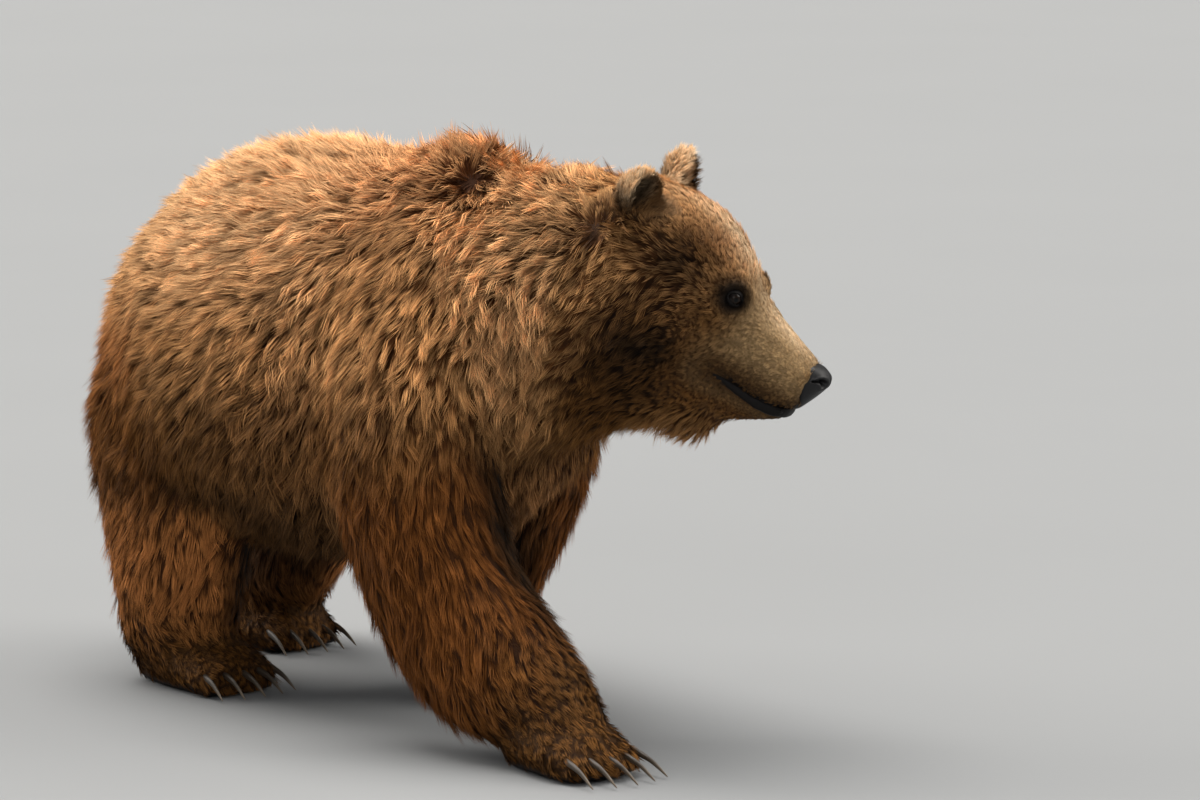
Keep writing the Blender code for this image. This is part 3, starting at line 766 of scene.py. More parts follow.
def bare_skin(points, outward):
    """1 where the skin has no hair: round the eyes, between the lips, round the nose and under the soles."""
    local = in_head(points)
    forward, left, up = local.T
    lid = 1 - ramp(distance(folded(local), EYE), 0.0125, 0.0150)
    level = up - mouth_line(forward)
    lips = ramp(forward, MOUTH_CORNER - 0.004, MOUTH_CORNER + 0.022) * (np.abs(left) < MUZZLE_HALF)
    lips = lips * ramp(level, -0.0150, -0.0120) * (1 - ramp(level, 0.0015, 0.0040))
    muzzle_end = 1 - ramp(distance(local, NOSE), 0.027, 0.031)
    sole = ramp(-outward[:, 2], 0.6, 0.85) * (1 - ramp(points[:, 2], 0.012, 0.02))
    return np.clip(lid + lips + sole + muzzle_end, 0, 1)


def coat_sizes(points, outward, shares):
    """For each vertex: how far hair reaches along the skin, how far it rises off it, the coat's depth,
    a tuft's width, how tightly locks meet and how far up the root's colour goes."""
    length, depth, width, clump, dark = (
        shares @ np.array([getattr(COAT[kind], column) for kind in KINDS])
        for column in ("length", "depth", "width", "clump", "dark")
    )
    local = in_head(points)
    forward, _, up = local.T
    to_eye = distance(folded(local), EYE)
    face = worn(shares, *FACE)
    cheek = face * ramp(-forward, -0.01, 0.09) * (1 - ramp(up, -0.02, 0.05))
    muzzle = face * ramp(forward, 0.02, 0.09)
    round_eye = face * (1 - ramp(to_eye, 0.020, 0.040))
    hanging = ramp(-outward[:, 2], 0.35, 0.95) * (1 - muzzle) * (face + worn(shares, *TRUNK))
    beard = near(local, BEARD, (0.060, 0.06, 0.06))
    ridge = near(folded(local), (0.03, 0.0, 0.03), (0.16, 0.050, 0.08))
    upright = near(points, HUMP, (0.16, 0.13, 0.08))
    upright = np.maximum(upright, 0.9 * near(folded(points), WHORL, (0.050, 0.05, 0.045)))
    upright = np.maximum(upright, 0.9 * near(folded(local), BEHIND_EAR, (0.045, 0.045, 0.045)))
    # on the cheek the root's dark colour, partly painted shade, also reaches further up the hair
    for size, more in ((length, 0.024), (depth, 0.0085), (width, 0.0035), (clump, 0.35), (dark, 0.40)):
        size += more * cheek
    for size, less in ((length, 0.45), (depth, 0.50), (width, 0.20)):
        size *= 1 - less * muzzle
    length *= 1 - 0.50 * round_eye
    for size, hung, bearded in ((length, 0.020, 0.048), (depth, 0.014, 0.020)):
        size += hung * hanging
        size += bearded * beard
    # along the ridge less of the root's dark colour shows, so the top stays light: partly painted light
    dark *= 1 - 0.75 * ridge
    rise = depth * (1 - 0.35 * ridge) * (1 - 0.45 * round_eye) * (1 - 0.55 * muzzle) + 0.024 * beard
    rise += 0.011 * upright
    reach = length * (1 - 0.35 * upright) * (1 - 0.35 * worn(shares, "ear"))
    depth += 0.016 * near(points, HUMP, (0.15, 0.12, 0.09))
    depth *= 1 - bare_skin(points, outward) * (1 - round_eye)
    depth *= ramp(to_eye, 0.024, 0.042)
    return reach, rise, depth, width, clump, dark


def mouth_line(forward):
    """The height of the line between the lips: a dip ahead of the corner, then a rise to the front."""
    t = np.clip((forward - MOUTH_CORNER) / (LIP_FRONT - MOUTH_CORNER), 0, 1)
    return -0.1205 - 0.0035 * np.sin(math.pi * t**1.2) + 0.008 * t**4


LIP_GROOVE, LIP_GAP = 0.0080, 0.0036  # how deep the line between the lips is, and half its height


def parted_lips(points):
    """The points, pushed in along the line between the lips."""
    local = in_head(points)
    away = local[:, :2] - np.array((LIPS_ROUND, 0))
    away = away / np.maximum(np.linalg.norm(away, axis=1, keepdims=True), 1e-6)
    gap = np.exp(-(((local[:, 2] - mouth_line(local[:, 0])) / LIP_GAP) ** 2))
    gap = gap * ramp(local[:, 0], MOUTH_CORNER - 0.002, MOUTH_CORNER + 0.02)
    gap = gap * (np.abs(local[:, 1]) < MUZZLE_HALF)
    gap = gap * (np.linalg.norm(local, axis=1) < FACE_REACH)
    local[:, :2] -= away * (LIP_GROOVE * gap)[:, None]
    return local @ HEAD_AXES.T + np.array(HEAD_AT)


def filled_sockets(points, faces):
    """The points, with the hollow behind each eye drawn up to a slope between the ball and the face."""
    tree = BVHTree.FromPolygons(points.tolist(), faces.tolist())
    for side in SIDE_NAMES:
        centre, ahead, up, gaze = eye_place(side)
        turns = np.linspace(-math.pi, math.pi, 61)
        ring = []
        for turn in turns:
            way = ahead * math.cos(turn) + up * math.sin(turn)
            starts = [centre + way * reach + gaze * 0.06 for reach in (0.021, 0.023, 0.025)]
            hits = [tree.ray_cast(start, -gaze, 0.1)[0] for start in starts]
            ring.append(np.mean([(hit - centre).dot(gaze) for hit in hits if hit]))
        ring = np.array(ring)
        for _ in range(8):
            ring = (np.roll(ring[:-1], 1) + 2 * ring[:-1] + np.roll(ring[:-1], -1)) / 4
            ring = np.append(ring, ring[0])
        offset = points - np.array(centre)
        x, y, level = (offset @ np.array(axis) for axis in (ahead, up, gaze))
        reach = np.hypot(x, y)
        rim = np.interp(np.arctan2(y, x), turns, ring)
        run = ramp(reach, 0.0105, 0.0220)
        wanted = blend(0.0032, rim, run) + 0.0010 * np.sin(math.pi * run)
        share = (1 - ramp(reach, 0.0200, 0.0235)) * (np.abs(level) < 0.045)
        points = points + np.array(gaze) * ((wanted - level) * share)[:, None]
    return points


def dressed_skin():
    """The skin, drawn in from the solids by the coat's depth, with what the coat and its colours need."""
    skin, tree, kinds = outer_skin()
    refined(skin)
    mesh = skin.data
    spreader = Spreader(mesh)
    outer = positions(mesh)
    outward = unit(spreader.spread(vectors(mesh, "normal"), 6))
    shares, main_kind = part_shares(mesh, tree, kinds, spreader)
    local = in_head(outer)
    # painted light and shade in part: the lighter upper colours lie where the top is lit, the darker lower
    # ones underneath
    heights = ramp(outer[:, 2], *TRUNK_HEIGHTS)
    heights = blend(heights, ramp(local[:, 2], *HEAD_HEIGHTS), worn(shares, *FACE, "ear"))
    heights = blend(heights, ramp(local[:, 2], *EAR_HEIGHTS), worn(shares, "ear"))
    reach, rise, depth, width, clump, dark = coat_sizes(outer, outward, shares)
    depth = spreader.spread(depth, 3)
    points = filled_sockets(parted_lips(outer - outward * depth[:, None]), triangles(mesh))
    points[:, 2] = np.maximum(points[:, 2], SKIN_FLOOR_GAP)
    mesh.vertices.foreach_set("co", points.astype(np.float32).ravel())
    mesh.update()
    tip, root = markings(outer, outward, shares, heights)
    bald = bare_skin(outer, outward)
    kept = {
        "FLOAT_VECTOR": {"lie": lie_of(outer, outward, shares), "out": outward},
        "FLOAT": {
            "reach": reach, "rise": rise, "tuft_width": width, "clump": clump, "dark_reach": dark,
            "bare": bald,
            "short_hair": 1 - ramp(reach, *SHORT_HAIR),
            "crowding": (1 - bald) * (USUAL_WIDTH / width) ** 1.5,
        },
        "FLOAT_COLOR": {"tip_colour": tip, "root_colour": root},
    }
    for sort, columns in kept.items():
        for name, values in columns.items():
            store(mesh, name, values, sort)
    mesh.shade_smooth()
    return skin, main_kind


# ---------------------------------------------------------------- the coat
PATCH = 0.003  # the width of one tuft on the coat's map
# Each kind of tuft has so many blades, so many steps along each, and blades of this half width.
TUFTS = {"wavy": (6, 3, 0.072), "fine": (10, 2, 0.052), "short": (6, 2, 0.075)}
LOCK_SWAY, WAVE, LONG_WAVE = 0.30, 0.05, 0.09


def tuft(name, blades, steps, breadth, seed):
    """Thin tapering blades rooted side by side: X across, Y along and Z away from the skin, each to 1."""
    rng = random.Random(seed)
    verts, faces, across, along, strand = [], [], [], [], []
    for blade in range(blades):
        first = len(verts)
        slot = (blade + 0.5) / blades - 0.5
        root_x, root_y = slot * 0.9 + rng.uniform(-0.08, 0.08), rng.uniform(-0.10, 0.10)
        reach, lift = rng.uniform(0.72, 1.0), rng.uniform(0.55, 1.0)
        bend, turn = rng.uniform(-0.30, 0.30), rng.uniform(-0.9, 0.9)
        half = breadth * rng.uniform(0.8, 1.2)
        for step in range(steps + 1):
            t = step / steps
            sideways = root_x * (1 - 0.45 * t) + bend * t * t
            centre = Vector((sideways, root_y + reach * t, lift * t**0.85 - 0.06 * (1 - t)))
            if step == steps:
                verts.append(centre)
                across.append((blade + 0.5) / blades)
                along.append(1.0)
                continue
            wide = half * (1 - 0.55 * t**1.4)
            edge = Vector((math.cos(turn) * wide, 0, math.sin(turn) * wide * 0.5))
            for sign in (-1, 1):
                verts.append(centre + edge * sign)
                across.append((blade + 0.5 + 0.4 * sign) / blades)
                along.append(t)
        for step in range(steps - 1):
            a = first + step * 2
            faces.append((a, a + 1, a + 3, a + 2))
        a = first + (steps - 1) * 2
        faces.append((a, a + 1, a + 2))
        strand += [rng.random()] * (len(verts) - first)
    mesh = mesh_of(name, verts, faces)
    mesh.shade_smooth()
    for number, values in {"across": across, "along": along, "strand": strand}.items():
        store(mesh, number, np.array(values))
    return bpy.data.objects.new(name, mesh)


def tuft_set(name, *plan):
    made = bpy.data.collections.new(name)
    for seed in range(4):
        made.objects.link(tuft(f"{name}_{seed}", *plan, seed + 1))
    return made


def coat_tree():
    """Tufts strewn over a skin, each turned to the lie of the hair, then drawn together into locks."""
    tree = bpy.data.node_groups.new("coat", "GeometryNodeTree")
    sockets = (
        ("Skin", "Geometry"), ("Tufts", "Collection"), ("Tufts Per Square Metre", "Float"),
        ("Seed", "Int"), ("Lock Size", "Float"), ("Lock Sway", "Float"), ("Wave", "Float"),
        ("Map Patch", "Float"), ("Floor Gap", "Float"), ("Hair", "Material"),
    )
    for name, kind in sockets:
        tree.interface.new_socket(name, in_out="INPUT", socket_type="NodeSocket" + kind)
    tree.interface.new_socket("Coat", in_out="OUTPUT", socket_type="NodeSocketGeometry")
    graph = Graph(tree)
    given = tree.nodes.new("NodeGroupInput")
    value = {name: Wire(graph, given.outputs[name]) for name, _ in sockets}

    def kept(name, kind="FLOAT"):
        return graph.add("GeometryNodeInputNamedAttribute", dict(data_type=kind), {"Name": name})

    def keep(geometry, name, wire, kind="FLOAT", domain="POINT"):
        inputs = {"Geometry": geometry, "Name": name, "Value": wire}
        return graph.add("GeometryNodeStoreNamedAttribute", dict(data_type=kind, domain=domain), inputs)

    def chance(low, high, offset, kind="FLOAT"):
        first, output = {"FLOAT": (2, 1), "INT": (4, 2)}[kind]
        inputs = {first: low, first + 1: high, "Seed": value["Seed"] + offset}
        return graph.add("FunctionNodeRandomValue", dict(data_type=kind), inputs, output)

    def xyz(**parts):
        return graph.add("ShaderNodeCombineXYZ", {}, parts)

    def total(first, second):
        return graph.vector("ADD", first, second)

    # Roots strewn over the skin, each with what its tuft will need.
    density = value["Tufts Per Square Metre"] * kept("crowding")
    strewing = {"Mesh": value["Skin"], "Density": density, "Seed": value["Seed"]}
    points = graph.add("GeometryNodeDistributePointsOnFaces", dict(distribute_method="RANDOM"), strewing)
    here = graph.add("GeometryNodeInputPosition")
    points = keep(points, "root", here, "FLOAT_VECTOR")
    points = keep(points, "tuft_tint", chance(0.0, 1.0, 1))
    drift = graph.add("ShaderNodeTexNoise", {}, {"Vector": here, "Scale": 14.0, "Detail": 1.0}, 1)
    sway = graph.scaled(graph.vector("SUBTRACT", drift, (0.5, 0.5, 0.5)), 1.5)
    out, lie = kept("out", "FLOAT_VECTOR"), kept("lie", "FLOAT_VECTOR")
    aimed = graph.vector("NORMALIZE", total(lie, sway))
    side = graph.vector("NORMALIZE", graph.vector("CROSS_PRODUCT", aimed, out))
    points = keep(points, "side", side, "FLOAT_VECTOR")
    points = keep(points, "size", kept("reach") + kept("rise"))

    # A tuft on each root.
    axes = dict(primary_axis="Z", secondary_axis="Y")
    tufts = {"Collection": value["Tufts"], "Separate Children": True, "Reset Children": True}
    strewn = graph.add("GeometryNodeInstanceOnPoints", {}, {
        "Points": points,
        "Instance": graph.add("GeometryNodeCollectionInfo", {}, tufts),
        "Pick Instance": True,
        "Instance Index": chance(0, 3, 6, "INT"),
        "Rotation": graph.add("FunctionNodeAxesToRotation", axes, {0: out, 1: aimed}),
        "Scale": xyz(
            X=kept("tuft_width") * chance(0.8, 1.25, 3),
            Y=kept("reach") * chance(0.75, 1.15, 4),
            Z=kept("rise") * chance(0.60, 1.25, 5),
        ),
    })
    hair = graph.add("GeometryNodeRealizeInstances", {}, {"Geometry": strewn})

    # Locks: the hairs rooted in one cell lean to its middle, stray together, wave and share a tint, with
    # painted shade towards the cell's edge.
    root, along, clump = kept("root", "FLOAT_VECTOR"), kept("along"), kept("clump")
    cell = {"Vector": root, "Scale": 1.0 / value["Lock Size"]}
    cells = graph.add("ShaderNodeTexVoronoi", {}, cell, "Position")
    chances = Wire(graph, cells.socket.node.outputs["Color"])
    lock_tint = graph.add("FunctionNodeSeparateColor", {}, {0: chances})
    to_lock = graph.vector("SUBTRACT", cells, root)
    # painted shade: hair towards a lock's edge is darkened, as the gaps between locks would be shaded
    edge = (graph.vector("LENGTH", to_lock, output="Value") / value["Lock Size"]).over(0.15, 0.75)
    tint = 0.5 + (lock_tint - 0.5) * (0.15 + 1.1 * clump)
    hair = keep(hair, "lock_tint", tint * (1.15 - 0.85 * clump * edge))
    out, size, side = kept("out", "FLOAT_VECTOR"), kept("size"), kept("side", "FLOAT_VECTOR")
    height = graph.vector("DOT_PRODUCT", to_lock, out, output="Value")
    to_lock = graph.vector("SUBTRACT", to_lock, graph.scaled(out, height * 0.8))
    gather = graph.scaled(to_lock, clump * along**1.15)
    stray = graph.vector("SUBTRACT", chances, (0.5, 0.5, 0.5))
    stray = graph.scaled(stray, value["Lock Sway"] * size * along**1.5)
    phase = along * 4.2 + lock_tint * 6.28
    ripple = phase.sine() * along * value["Wave"] * size
    swing = total(graph.scaled(side, ripple), graph.scaled(out, ripple * 0.5))
    moved = total(here, total(gather, total(stray, swing)))
    floor_level = xyz(X=-100.0, Y=-100.0, Z=value["Floor Gap"])
    moved = graph.vector("MAXIMUM", moved, floor_level)
    hair = graph.add("GeometryNodeSetPosition", {}, {"Geometry": hair, "Position": moved})

    # Each tuft's patch on the map, then only what the material reads is kept.
    patch = graph.scaled(xyz(X=kept("across") - 0.5, Y=along - 0.5), value["Map Patch"])
    hair = keep(hair, "OFBake", total(kept("OFBake", "FLOAT_VECTOR"), patch), "FLOAT2", "CORNER")
    for name in ("root", "side", "size", "lie", "out", "across", "bare", "crowding", "short_hair",
                 "reach", "rise", "tuft_width", "clump"):
        hair = graph.add("GeometryNodeRemoveAttribute", {}, {"Geometry": hair, "Name": name})
    hair = graph.add("GeometryNodeSetMaterial", {}, {"Geometry": hair, "Material": value["Hair"]})
    leaving = tree.nodes.new("NodeGroupOutput")
    tree.links.new(hair.socket, leaving.inputs["Coat"])
    return tree


def set_inputs(modifier, values):
    """Sets a tree's named inputs by their sockets' identifiers."""
    for item in modifier.node_group.interface.items_tree:
        if item.item_type == "SOCKET" and item.in_out == "INPUT" and item.name in values:
            modifier[item.identifier] = values[item.name]


def patch_of_skin(skin, name, chosen):
    """A copy of the chosen faces of the skin, unwrapped."""
    mesh = bmesh.new()
    mesh.from_mesh(skin.data)
    mesh.faces.ensure_lookup_table()
    unwanted = [mesh.faces[i] for i in np.nonzero(~chosen)[0]]
    bmesh.ops.delete(mesh, geom=unwanted, context="FACES")
    obj = linked(name, poured(name, mesh))
    obj.data.uv_layers.new(name="OFBake")
    bpy.context.view_layer.objects.active = obj
    obj.select_set(True)
    bpy.ops.object.mode_set(mode="EDIT")
    bpy.ops.mesh.select_all(action="SELECT")
    bpy.ops.uv.smart_project(angle_limit=1.2, island_margin=0.004)
    bpy.ops.object.mode_set(mode="OBJECT")
    obj.select_set(False)
    return obj


def integral(mesh, name):
    """The sum over the faces of their area times the mean of a stored number."""
    corners = triangles(mesh)
    points = positions(mesh)[corners]
    areas = np.linalg.norm(np.cross(points[:, 1] - points[:, 0], points[:, 2] - points[:, 0]), axis=1) / 2
    values = np.empty(len(mesh.vertices), np.float32)
    mesh.attributes[name].data.foreach_get("value", values)
    return float((areas * values[corners].mean(1)).sum())


def coats(skin, main_kind, material):
    """A coat piece for each kind of part."""
    tree = coat_tree()
    wavy, fine, short = (tuft_set(name, *plan) for name, plan in TUFTS.items())
    corners = triangles(skin.data)
    face_kind = main_kind[corners[:, 0]]
    face_y = positions(skin.data)[corners][:, :, 1].mean(1)
    for number, kind in enumerate(KINDS):
        wanted = face_kind == number
        halves = {"": wanted}
        if kind in HALVED:
            halves = {"_left": wanted & (face_y >= 0), "_right": wanted & (face_y < 0)}
        for half, chosen in halves.items():
            piece = patch_of_skin(skin, f"coat_{kind}{half}", chosen)
            plan = COAT[kind]
            modifier = modify(piece, "NODES", node_group=tree)
            set_inputs(modifier, {
                "Tufts": short if kind in SHORT else wavy if kind in WAVY else fine,
                "Tufts Per Square Metre": plan.tufts / len(halves) / integral(piece.data, "crowding"),
                "Seed": 10 * number + len(half),
                "Lock Size": plan.lock,
                "Lock Sway": LOCK_SWAY,
                "Wave": LONG_WAVE if kind in WAVY else WAVE,
                "Map Patch": PATCH,
                "Floor Gap": COAT_FLOOR_GAP,
                "Hair": material,
            })
            finished(settled(piece))
    for tufts in (wavy, fine, short):
        for obj in list(tufts.objects):
            bpy.data.objects.remove(obj)
        bpy.data.collections.remove(tufts)


# ---------------------------------------------------------------- eyes, lids, lips, nose and claws
EYE_OUT = 0.0018  # how far the ball stands out along its gaze, to meet the lids
CORNEA_BULGE, CORNEA_ANGLE = 0.0009, 0.62  # how far the front stands out, and over what angle from the pupil


def eye_place(side):
    """The eye's middle, and its axes: forward along the lids, up, and out along the gaze."""
    gaze = (HEAD_TURN @ mirrored(GAZE, side)).normalized()
    up = HEAD_TURN @ Vector((0.10, 0.0, 1.0))
    up = (up - gaze * up.dot(gaze)).normalized()
    ahead = gaze.cross(up) * side
    return middle("eye_" + SIDE_NAMES[side]) + gaze * EYE_OUT, ahead, up, gaze


def eyeball(side):
    """A ball with a slightly bulging front, and a number that grows from the pupil outwards."""
    name = "eye_" + SIDE_NAMES[side]
    centre, _, _, gaze = eye_place(side)
    mesh = bmesh.new()
    bmesh.ops.create_uvsphere(mesh, u_segments=48, v_segments=32, radius=EYE_RADIUS)
    turn = Vector((0, 0, 1)).rotation_difference(gaze).to_matrix()
    out = []
    for vertex in mesh.verts:
        angle = math.acos(max(-1, min(1, vertex.co.z / EYE_RADIUS)))
        bulge = CORNEA_BULGE * math.exp(-((angle / CORNEA_ANGLE) ** 2))
        vertex.co = turn @ (vertex.co * (1 + bulge / EYE_RADIUS)) + centre
        out.append(angle)
    data = poured(name + "_ball", mesh)
    store(data, "from_pupil", np.array(out))
    data.shade_smooth()
    return linked(name + "_ball", data)


def sheet_of(name, rows, outward):
    """A surface through rows of points, each row closed on itself, facing outward."""
    columns = len(rows[0])
    faces = []
    for start in range(0, (len(rows) - 1) * columns, columns):
        for j in range(columns):
            after = start + (j + 1) % columns
            faces.append((start + j, after, after + columns, start + j + columns))
    mesh = mesh_of(name, [point for row in rows for point in row], faces)
    if sum(face.normal.dot(outward(face.center)) for face in mesh.polygons) < 0:
        mesh.flip_normals()
    mesh.shade_smooth()
    return linked(name, mesh)


def dressed_hide(obj):
    """Gives a strip of hide the numbers that the skin's material reads."""
    count = len(obj.data.vertices)
    store(obj.data, "bare", np.ones(count))
    for name, colour in zip(("tip_colour", "root_colour"), HAIR["sable"]):
        store(obj.data, name, np.tile(colour, (count, 1)), "FLOAT_COLOR")
    return obj


LID_SIDES = 56
LID_REACH = 0.0138  # how far from the eye's middle the lids run out into the skin
UPPER_LID, LOWER_LID = 0.0084, 0.0070  # how far over and under the eye's middle the rims lie
LID_HALF, INNER_CORNER = 0.0108, 0.0018  # the opening's half length, and how much longer it is in front
LID_ROWS, LID_RIM = 10, 5  # the rows of points from the ball to the skin; the first ones are the rim


def lids(side, skin):
    """Both lids: a rim on the ball, pointed towards the nose, a crease behind it, then on to the skin."""
    centre, ahead, up, gaze = eye_place(side)

    def on_skin(x, y):
        start = centre + ahead * x + up * y + gaze * 0.06
        hit = skin.ray_cast(start, -gaze, 0.12)[0]
        return (hit - centre).dot(gaze) if hit else 0.0

    rows = [[] for _ in range(LID_ROWS)]
    for k in range(LID_SIDES):
        angle = 2 * math.pi * k / LID_SIDES
        c, s = math.cos(angle), math.sin(angle)
        half_high = UPPER_LID if s > 0 else LOWER_LID
        wide = LID_HALF + INNER_CORNER * max(0.0, c) ** 6
        x = wide * c
        y = half_high * s * (1 - 0.35 * max(0.0, c) ** 3) - 0.0016 * max(0.0, c) ** 2
        spread = math.hypot(x, y)
        height = math.sqrt(EYE_RADIUS**2 - min(spread, 0.0113) ** 2)
        profile = ((0.0004, height - 0.0030), (0.0, height + 0.0002), (0.0004, height + 0.0011),
                   (0.0013, height + 0.0012), (0.0026, height + (0.0000 if s > 0 else 0.0006)))
        for row, (over, level) in zip(rows, profile):
            share = (spread + over) / spread
            row.append(centre + ahead * x * share + up * y * share + gaze * level)
        last = profile[-1]
        for n, row in enumerate(rows[LID_RIM:]):
            run = (n + 1) / (LID_ROWS - LID_RIM)
            share = blend(spread + last[0], LID_REACH, run) / spread
            skin_level = on_skin(x * share, y * share)
            fold = 0.0012 * math.sin(math.pi * run) if s > 0 else 0.0004
            lid_level = blend(last[1], skin_level, run) + fold
            level = skin_level - 0.0012 if run == 1 else max(lid_level, skin_level + 0.0004)
            row.append(centre + ahead * x * share + up * y * share + gaze * level)
    made = sheet_of("lids", rows, lambda _: gaze)
    modify(made, "SUBSURF", levels=1, render_levels=1)
    return dressed_hide(settled(made))


LIP_DROP = 0.0012  # how far the lower lip's top lies under the line between the lips
LIP_SINK, LIP_THICK = 0.0016, 0.0032
LIP_STEPS, LIP_SIDES, LIP_TURN = 96, 18, 117  # the turn to each corner, in degrees


def lower_lip_height(forward):
    return 0.0062 + 0.0022 * min(1.0, max(0.0, (forward - 0.10) / 0.06))


def lip_points(skin):
    """Where a level a little under the line between the lips meets the skin, round from corner to corner."""
    found = []
    for step in range(LIP_STEPS + 1):
        angle = math.radians(-LIP_TURN + 2 * LIP_TURN * step / LIP_STEPS)
        way = Vector((math.cos(angle), math.sin(angle), 0.0))
        forward = LIPS_ROUND + 0.08 * way.x
        for _ in range(3):
            level = float(mouth_line(np.array(forward))) - (lower_lip_height(forward) + LIP_DROP)
            start = Vector((LIPS_ROUND, 0.0, level)) + way * 0.2
            hit = skin.ray_cast(from_head(start), -(HEAD_TURN @ way), 0.2)[0]
            if hit is None:
                break
            local = HEAD_TURN.transposed() @ (hit - HEAD_AT)
            forward = local.x
        if hit is not None:
            found.append(local - way * LIP_SINK)
    smooth = np.array(found)
    for _ in range(6):
        smooth[1:-1] = (smooth[:-2] + smooth[1:-1] * 2 + smooth[2:]) / 4
    return [Vector(p) for p in smooth]


def lower_lip(skin):
    """A rounded band of bare hide under the line between the lips, thinning out to both corners."""
    path = lip_points(skin)
    rows = []
    for i, point in enumerate(path):
        along = path[min(len(path) - 1, i + 1)] - path[max(0, i - 1)]
        sideways = Vector((along.y, -along.x, 0)).normalized()
        run = min(1.0, max(0.0, (point.x - MOUTH_CORNER + 0.004) / 0.045))
        swell = 0.40 + 0.60 * math.sin(run * math.pi / 2)
        swell *= 1 + 0.05 * math.sin(0.9 * i) + 0.05 * math.sin(0.41 * i + 1.3)
        half = lower_lip_height(point.x) * swell
        row = []
        for k in range(LIP_SIDES):
            turn = 2 * math.pi * k / LIP_SIDES
            around = sideways * math.cos(turn) * LIP_THICK * swell + Vector((0, 0, 1)) * math.sin(turn) * half
            row.append(from_head(point + around))
        rows.append(row)
    mouth = from_head((LIPS_ROUND, 0, mouth_line(np.array(LIPS_ROUND))))
    return dressed_hide(sheet_of("lower_lip", rows, lambda at: at - mouth))


def joined_to(skin, pieces):
    """Makes the pieces part of the skin's own mesh."""
    together = [skin, *pieces]
    with bpy.context.temp_override(
        active_object=skin, object=skin, selected_objects=together, selected_editable_objects=together
    ):
        bpy.ops.object.join()
    return skin


def face_details(skin):
    """The lids and the lower lip, which belong to the skin."""
    tree = BVHTree.FromObject(skin, bpy.context.evaluated_depsgraph_get())
    return joined_to(skin, [*(lids(side, tree) for side in SIDE_NAMES), lower_lip(tree)])


# The nose pad from its top's back edge over the tip and down to the lip, at the middle: forward and up,
# half its width, and how far its sides run back and down.
NOSE_PROFILE = np.array((
    (0.158, -0.0400, 0.0150, 0.014, 0.0060), (0.177, -0.0360, 0.0225, 0.019, 0.0105),
    (0.188, -0.0390, 0.0270, 0.026, 0.0140), (0.1955, -0.0445, 0.0295, 0.033, 0.0150),
    (0.1985, -0.0530, 0.0310, 0.038, 0.0140), (0.1975, -0.0630, 0.0310, 0.040, 0.0110),
    (0.1945, -0.0740, 0.0290, 0.038, 0.0070), (0.1905, -0.0860, 0.0235, 0.033, 0.0040),
    (0.1860, -0.0980, 0.0175, 0.028, 0.0025), (0.1815, -0.1090, 0.0135, 0.025, 0.0015),
    (0.1750, -0.1165, 0.0110, 0.022, 0.0010),
))
NOSTRIL = ((0.0135, 0.047), (0.0345, 0.043))  # its ends, across and down over the pad's surface
NOSE_HALF_GIRTH = 0.047  # from the middle to the side over the surface
NOSE_MIDDLE = (0.160, 0, -0.07)
NOSE_DOWN, NOSE_ROUND = 110, 120


def nose_pad():
    """The bare pad: a low flat top, a front leaning back to the lip, comma-shaped nostrils and a groove."""
    stations = np.linspace(0, 1, len(NOSE_PROFILE))
    levels = np.linspace(0, 1, NOSE_DOWN)
    kernel = np.hanning(15) / np.hanning(15).sum()
    columns = [np.interp(levels, stations, column) for column in NOSE_PROFILE.T]
    columns = [np.pad(column, len(kernel) // 2, mode="reflect", reflect_type="odd") for column in columns]
    columns = [np.convolve(column, kernel, "valid") for column in columns]
    ahead, high, wide, back, drop = (column[:, None] for column in columns)
    around = np.linspace(-1, 1, NOSE_ROUND)[None, :]
    turn = around * math.pi / 2
    across = wide * np.sign(turn) * np.abs(np.sin(turn)) ** 0.9
    set_back = back * (1 - np.cos(turn) ** 0.8)
    points = np.stack([ahead - set_back, across, high - drop * (1 - np.cos(turn) ** 0.9)], axis=2)
    slope_u, slope_v = np.gradient(points, axis=1), np.gradient(points, axis=0)
    outward = unit(np.cross(slope_v, slope_u).reshape(-1, 3)).reshape(points.shape)
    outward *= np.sign((outward * (points - np.array(NOSE_MIDDLE))).sum(2, keepdims=True))
    run_down = np.concatenate([[0], np.cumsum(np.hypot(np.diff(columns[0]), np.diff(columns[1])))])[:, None]
    run_over = np.abs(around) * NOSE_HALF_GIRTH
    (u0, v0), (u1, v1) = NOSTRIL
    share = (run_over - u0) * (u1 - u0) + (run_down - v0) * (v1 - v0)
    share = np.clip(share / ((u1 - u0) ** 2 + (v1 - v0) ** 2), 0, 1)
    bow = 0.004 * np.sin(math.pi * share)
    apart = np.hypot(run_over - u0 - (u1 - u0) * share, run_down - v0 - (v1 - v0) * share + bow)
    width = blend(0.0070, 0.0022, share)
    hole = 1 - ramp(apart, width * 0.45, width * 1.15)
    rim = np.exp(-(((apart - width * 1.5) / 0.0028) ** 2))
    groove = np.exp(-((run_over / 0.0016) ** 2)) * ramp(run_down, 0.030, 0.045)
    depth = hole * blend(0.0130, 0.0060, share) + 0.0022 * groove - 0.0010 * rim
    points -= outward * depth[:, :, None]
    rows = []
    for row in points:
        ends = [(min(x, NOSE_MIDDLE[0]) - 0.006, y * 0.8, z) for x, y, z in (row[-1], row[0])]
        rows.append([from_head(p) for p in (*row, *ends)])
    return sheet_of("nose_pad", rows, lambda at: at - from_head(NOSE_MIDDLE))


def smooth_claw(node):
    """The CAD claw with its corners rounded off, and a number that grows to its tip."""
    points, faces = welded_node(node)
    claw = linked(node + "_horn", mesh_of(node + "_horn", points, faces))
    modify(claw, "SUBSURF", levels=2, render_levels=2)
    settled(claw)
    x = positions(claw.data)[:, 0]
    store(claw.data, "along", (x - x.min()) / (x.max() - x.min()))
    claw.data.shade_smooth()
    return claw


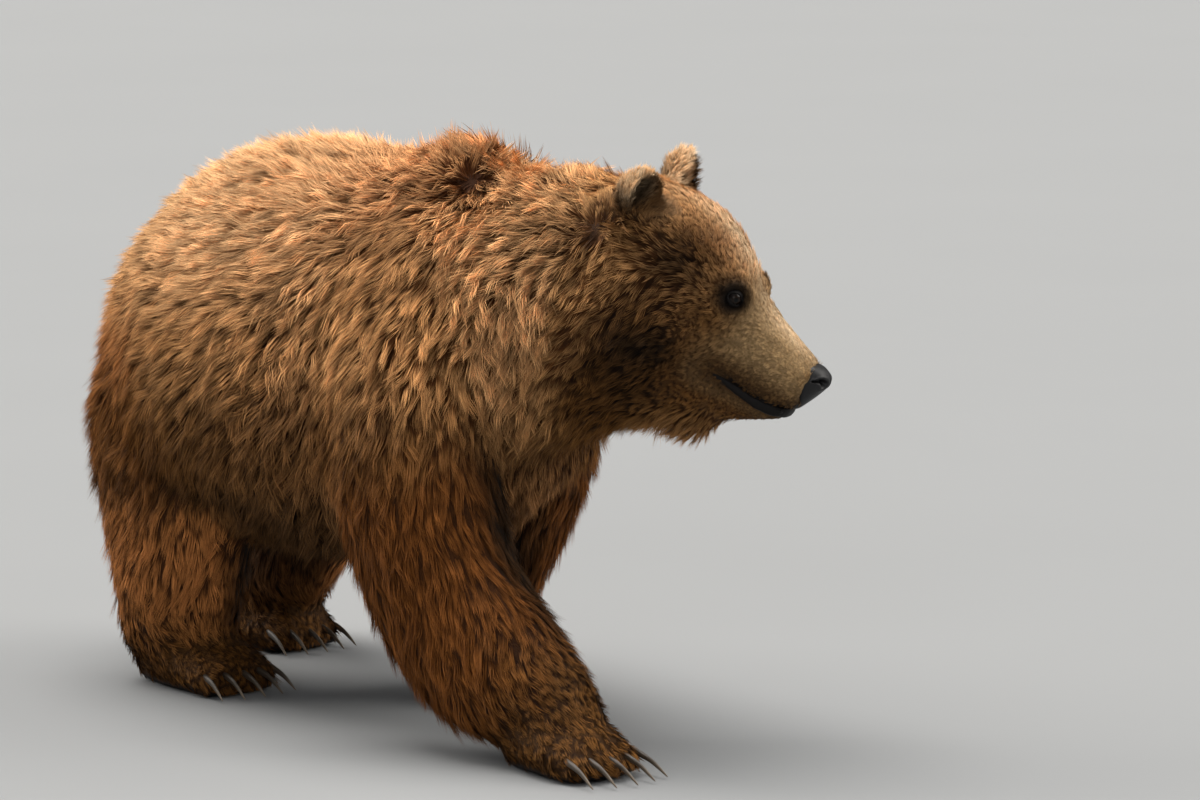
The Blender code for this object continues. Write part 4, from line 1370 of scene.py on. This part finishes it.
# ---------------------------------------------------------------- room
CAMERA_AIM = Vector((0.3015, 0.1270, 0.5078))
CAMERA_AZIMUTH, CAMERA_ELEVATION = math.radians(50), math.radians(8.5)
CAMERA_DISTANCE = 9.5
LENS, SENSOR = 186, 36
SUNS = {  # the way each comes from, its strength, its breadth in degrees and its colour
    "overhead": ((-0.30, 0.00, 1.50), 5.0, 45, (1.0, 0.965, 0.91)),
    "left": ((-1.15, -0.50, 0.85), 2.2, 45, (1.0, 0.95, 0.88)),
    "behind": ((0.70, 0.95, 0.90), 2.3, 45, (1.0, 0.96, 0.90)),
    "front": ((0.80, -0.60, 0.45), 0.18, 70, (1.0, 0.97, 0.93)),
}
CATCH_LIGHT = ((-0.24, 0.25, 0.94), 0.45, 15, (1.0, 1.0, 1.0))  # in the eyes; its way is the camera's
SKY_COLOUR, SKY_STRENGTH = (0.97, 0.98, 1.0, 1), 0.22
FLOOR_HALF = 60


def camera():
    data = bpy.data.cameras.new("camera")
    data.lens, data.sensor_width = LENS, SENSOR
    data.clip_end = 200
    obj = linked("camera", data)
    flat = math.cos(CAMERA_ELEVATION)
    back = Vector((
        math.sin(CAMERA_AZIMUTH) * flat, -math.cos(CAMERA_AZIMUTH) * flat, math.sin(CAMERA_ELEVATION)
    ))
    right = Vector((0, 0, 1)).cross(back).normalized()
    up = back.cross(right)
    turn = Matrix((right, up, back)).transposed().to_4x4()
    obj.matrix_world = Matrix.Translation(CAMERA_AIM + back * CAMERA_DISTANCE) @ turn
    bpy.context.scene.camera = obj


def soft_sun(name, from_way, strength, breadth, colour):
    """A broad, even light from one side of the room."""
    data = bpy.data.lights.new(name, "SUN")
    data.energy, data.angle, data.color = strength, math.radians(breadth), colour
    obj = linked(name, data)
    obj.matrix_world = Vector(from_way).to_track_quat("Z", "Y").to_matrix().to_4x4()


def room():
    mesh = bmesh.new()
    bmesh.ops.create_grid(mesh, x_segments=2, y_segments=2, size=FLOOR_HALF)
    data = poured("floor", mesh)
    data.materials.append(new_material("pale_floor"))
    linked("floor", data)
    world = bpy.data.worlds.new("sky")
    bpy.context.scene.world = world
    world.use_nodes = True
    background = world.node_tree.nodes["Background"]
    background.inputs["Color"].default_value = SKY_COLOUR
    background.inputs["Strength"].default_value = SKY_STRENGTH
    for name, light in SUNS.items():
        soft_sun(name, *light)
    way, *light = CATCH_LIGHT
    soft_sun("catch_light", bpy.context.scene.camera.matrix_world.to_3x3() @ Vector(way), *light)
    bpy.context.scene.view_settings.view_transform = "Standard"


# ---------------------------------------------------------------- the bear
def main():
    camera()
    room()
    skin, main_kind = dressed_skin()
    coats(skin, main_kind, new_material("bear_coat"))
    finished(face_details(skin), FLESH, new_material("bear_skin"))
    wet = new_material("eye_surface")
    for side, where in SIDE_NAMES.items():
        finished(eyeball(side), ["eye_" + where], wet)
    finished(nose_pad(), ["nose"], new_material("nose_leather"))
    claws = new_material("claw_horn")
    for node in sorted(n for n in frame["nodes"] if "claw" in n):
        finished(smooth_claw(node), [node], claws)


main()
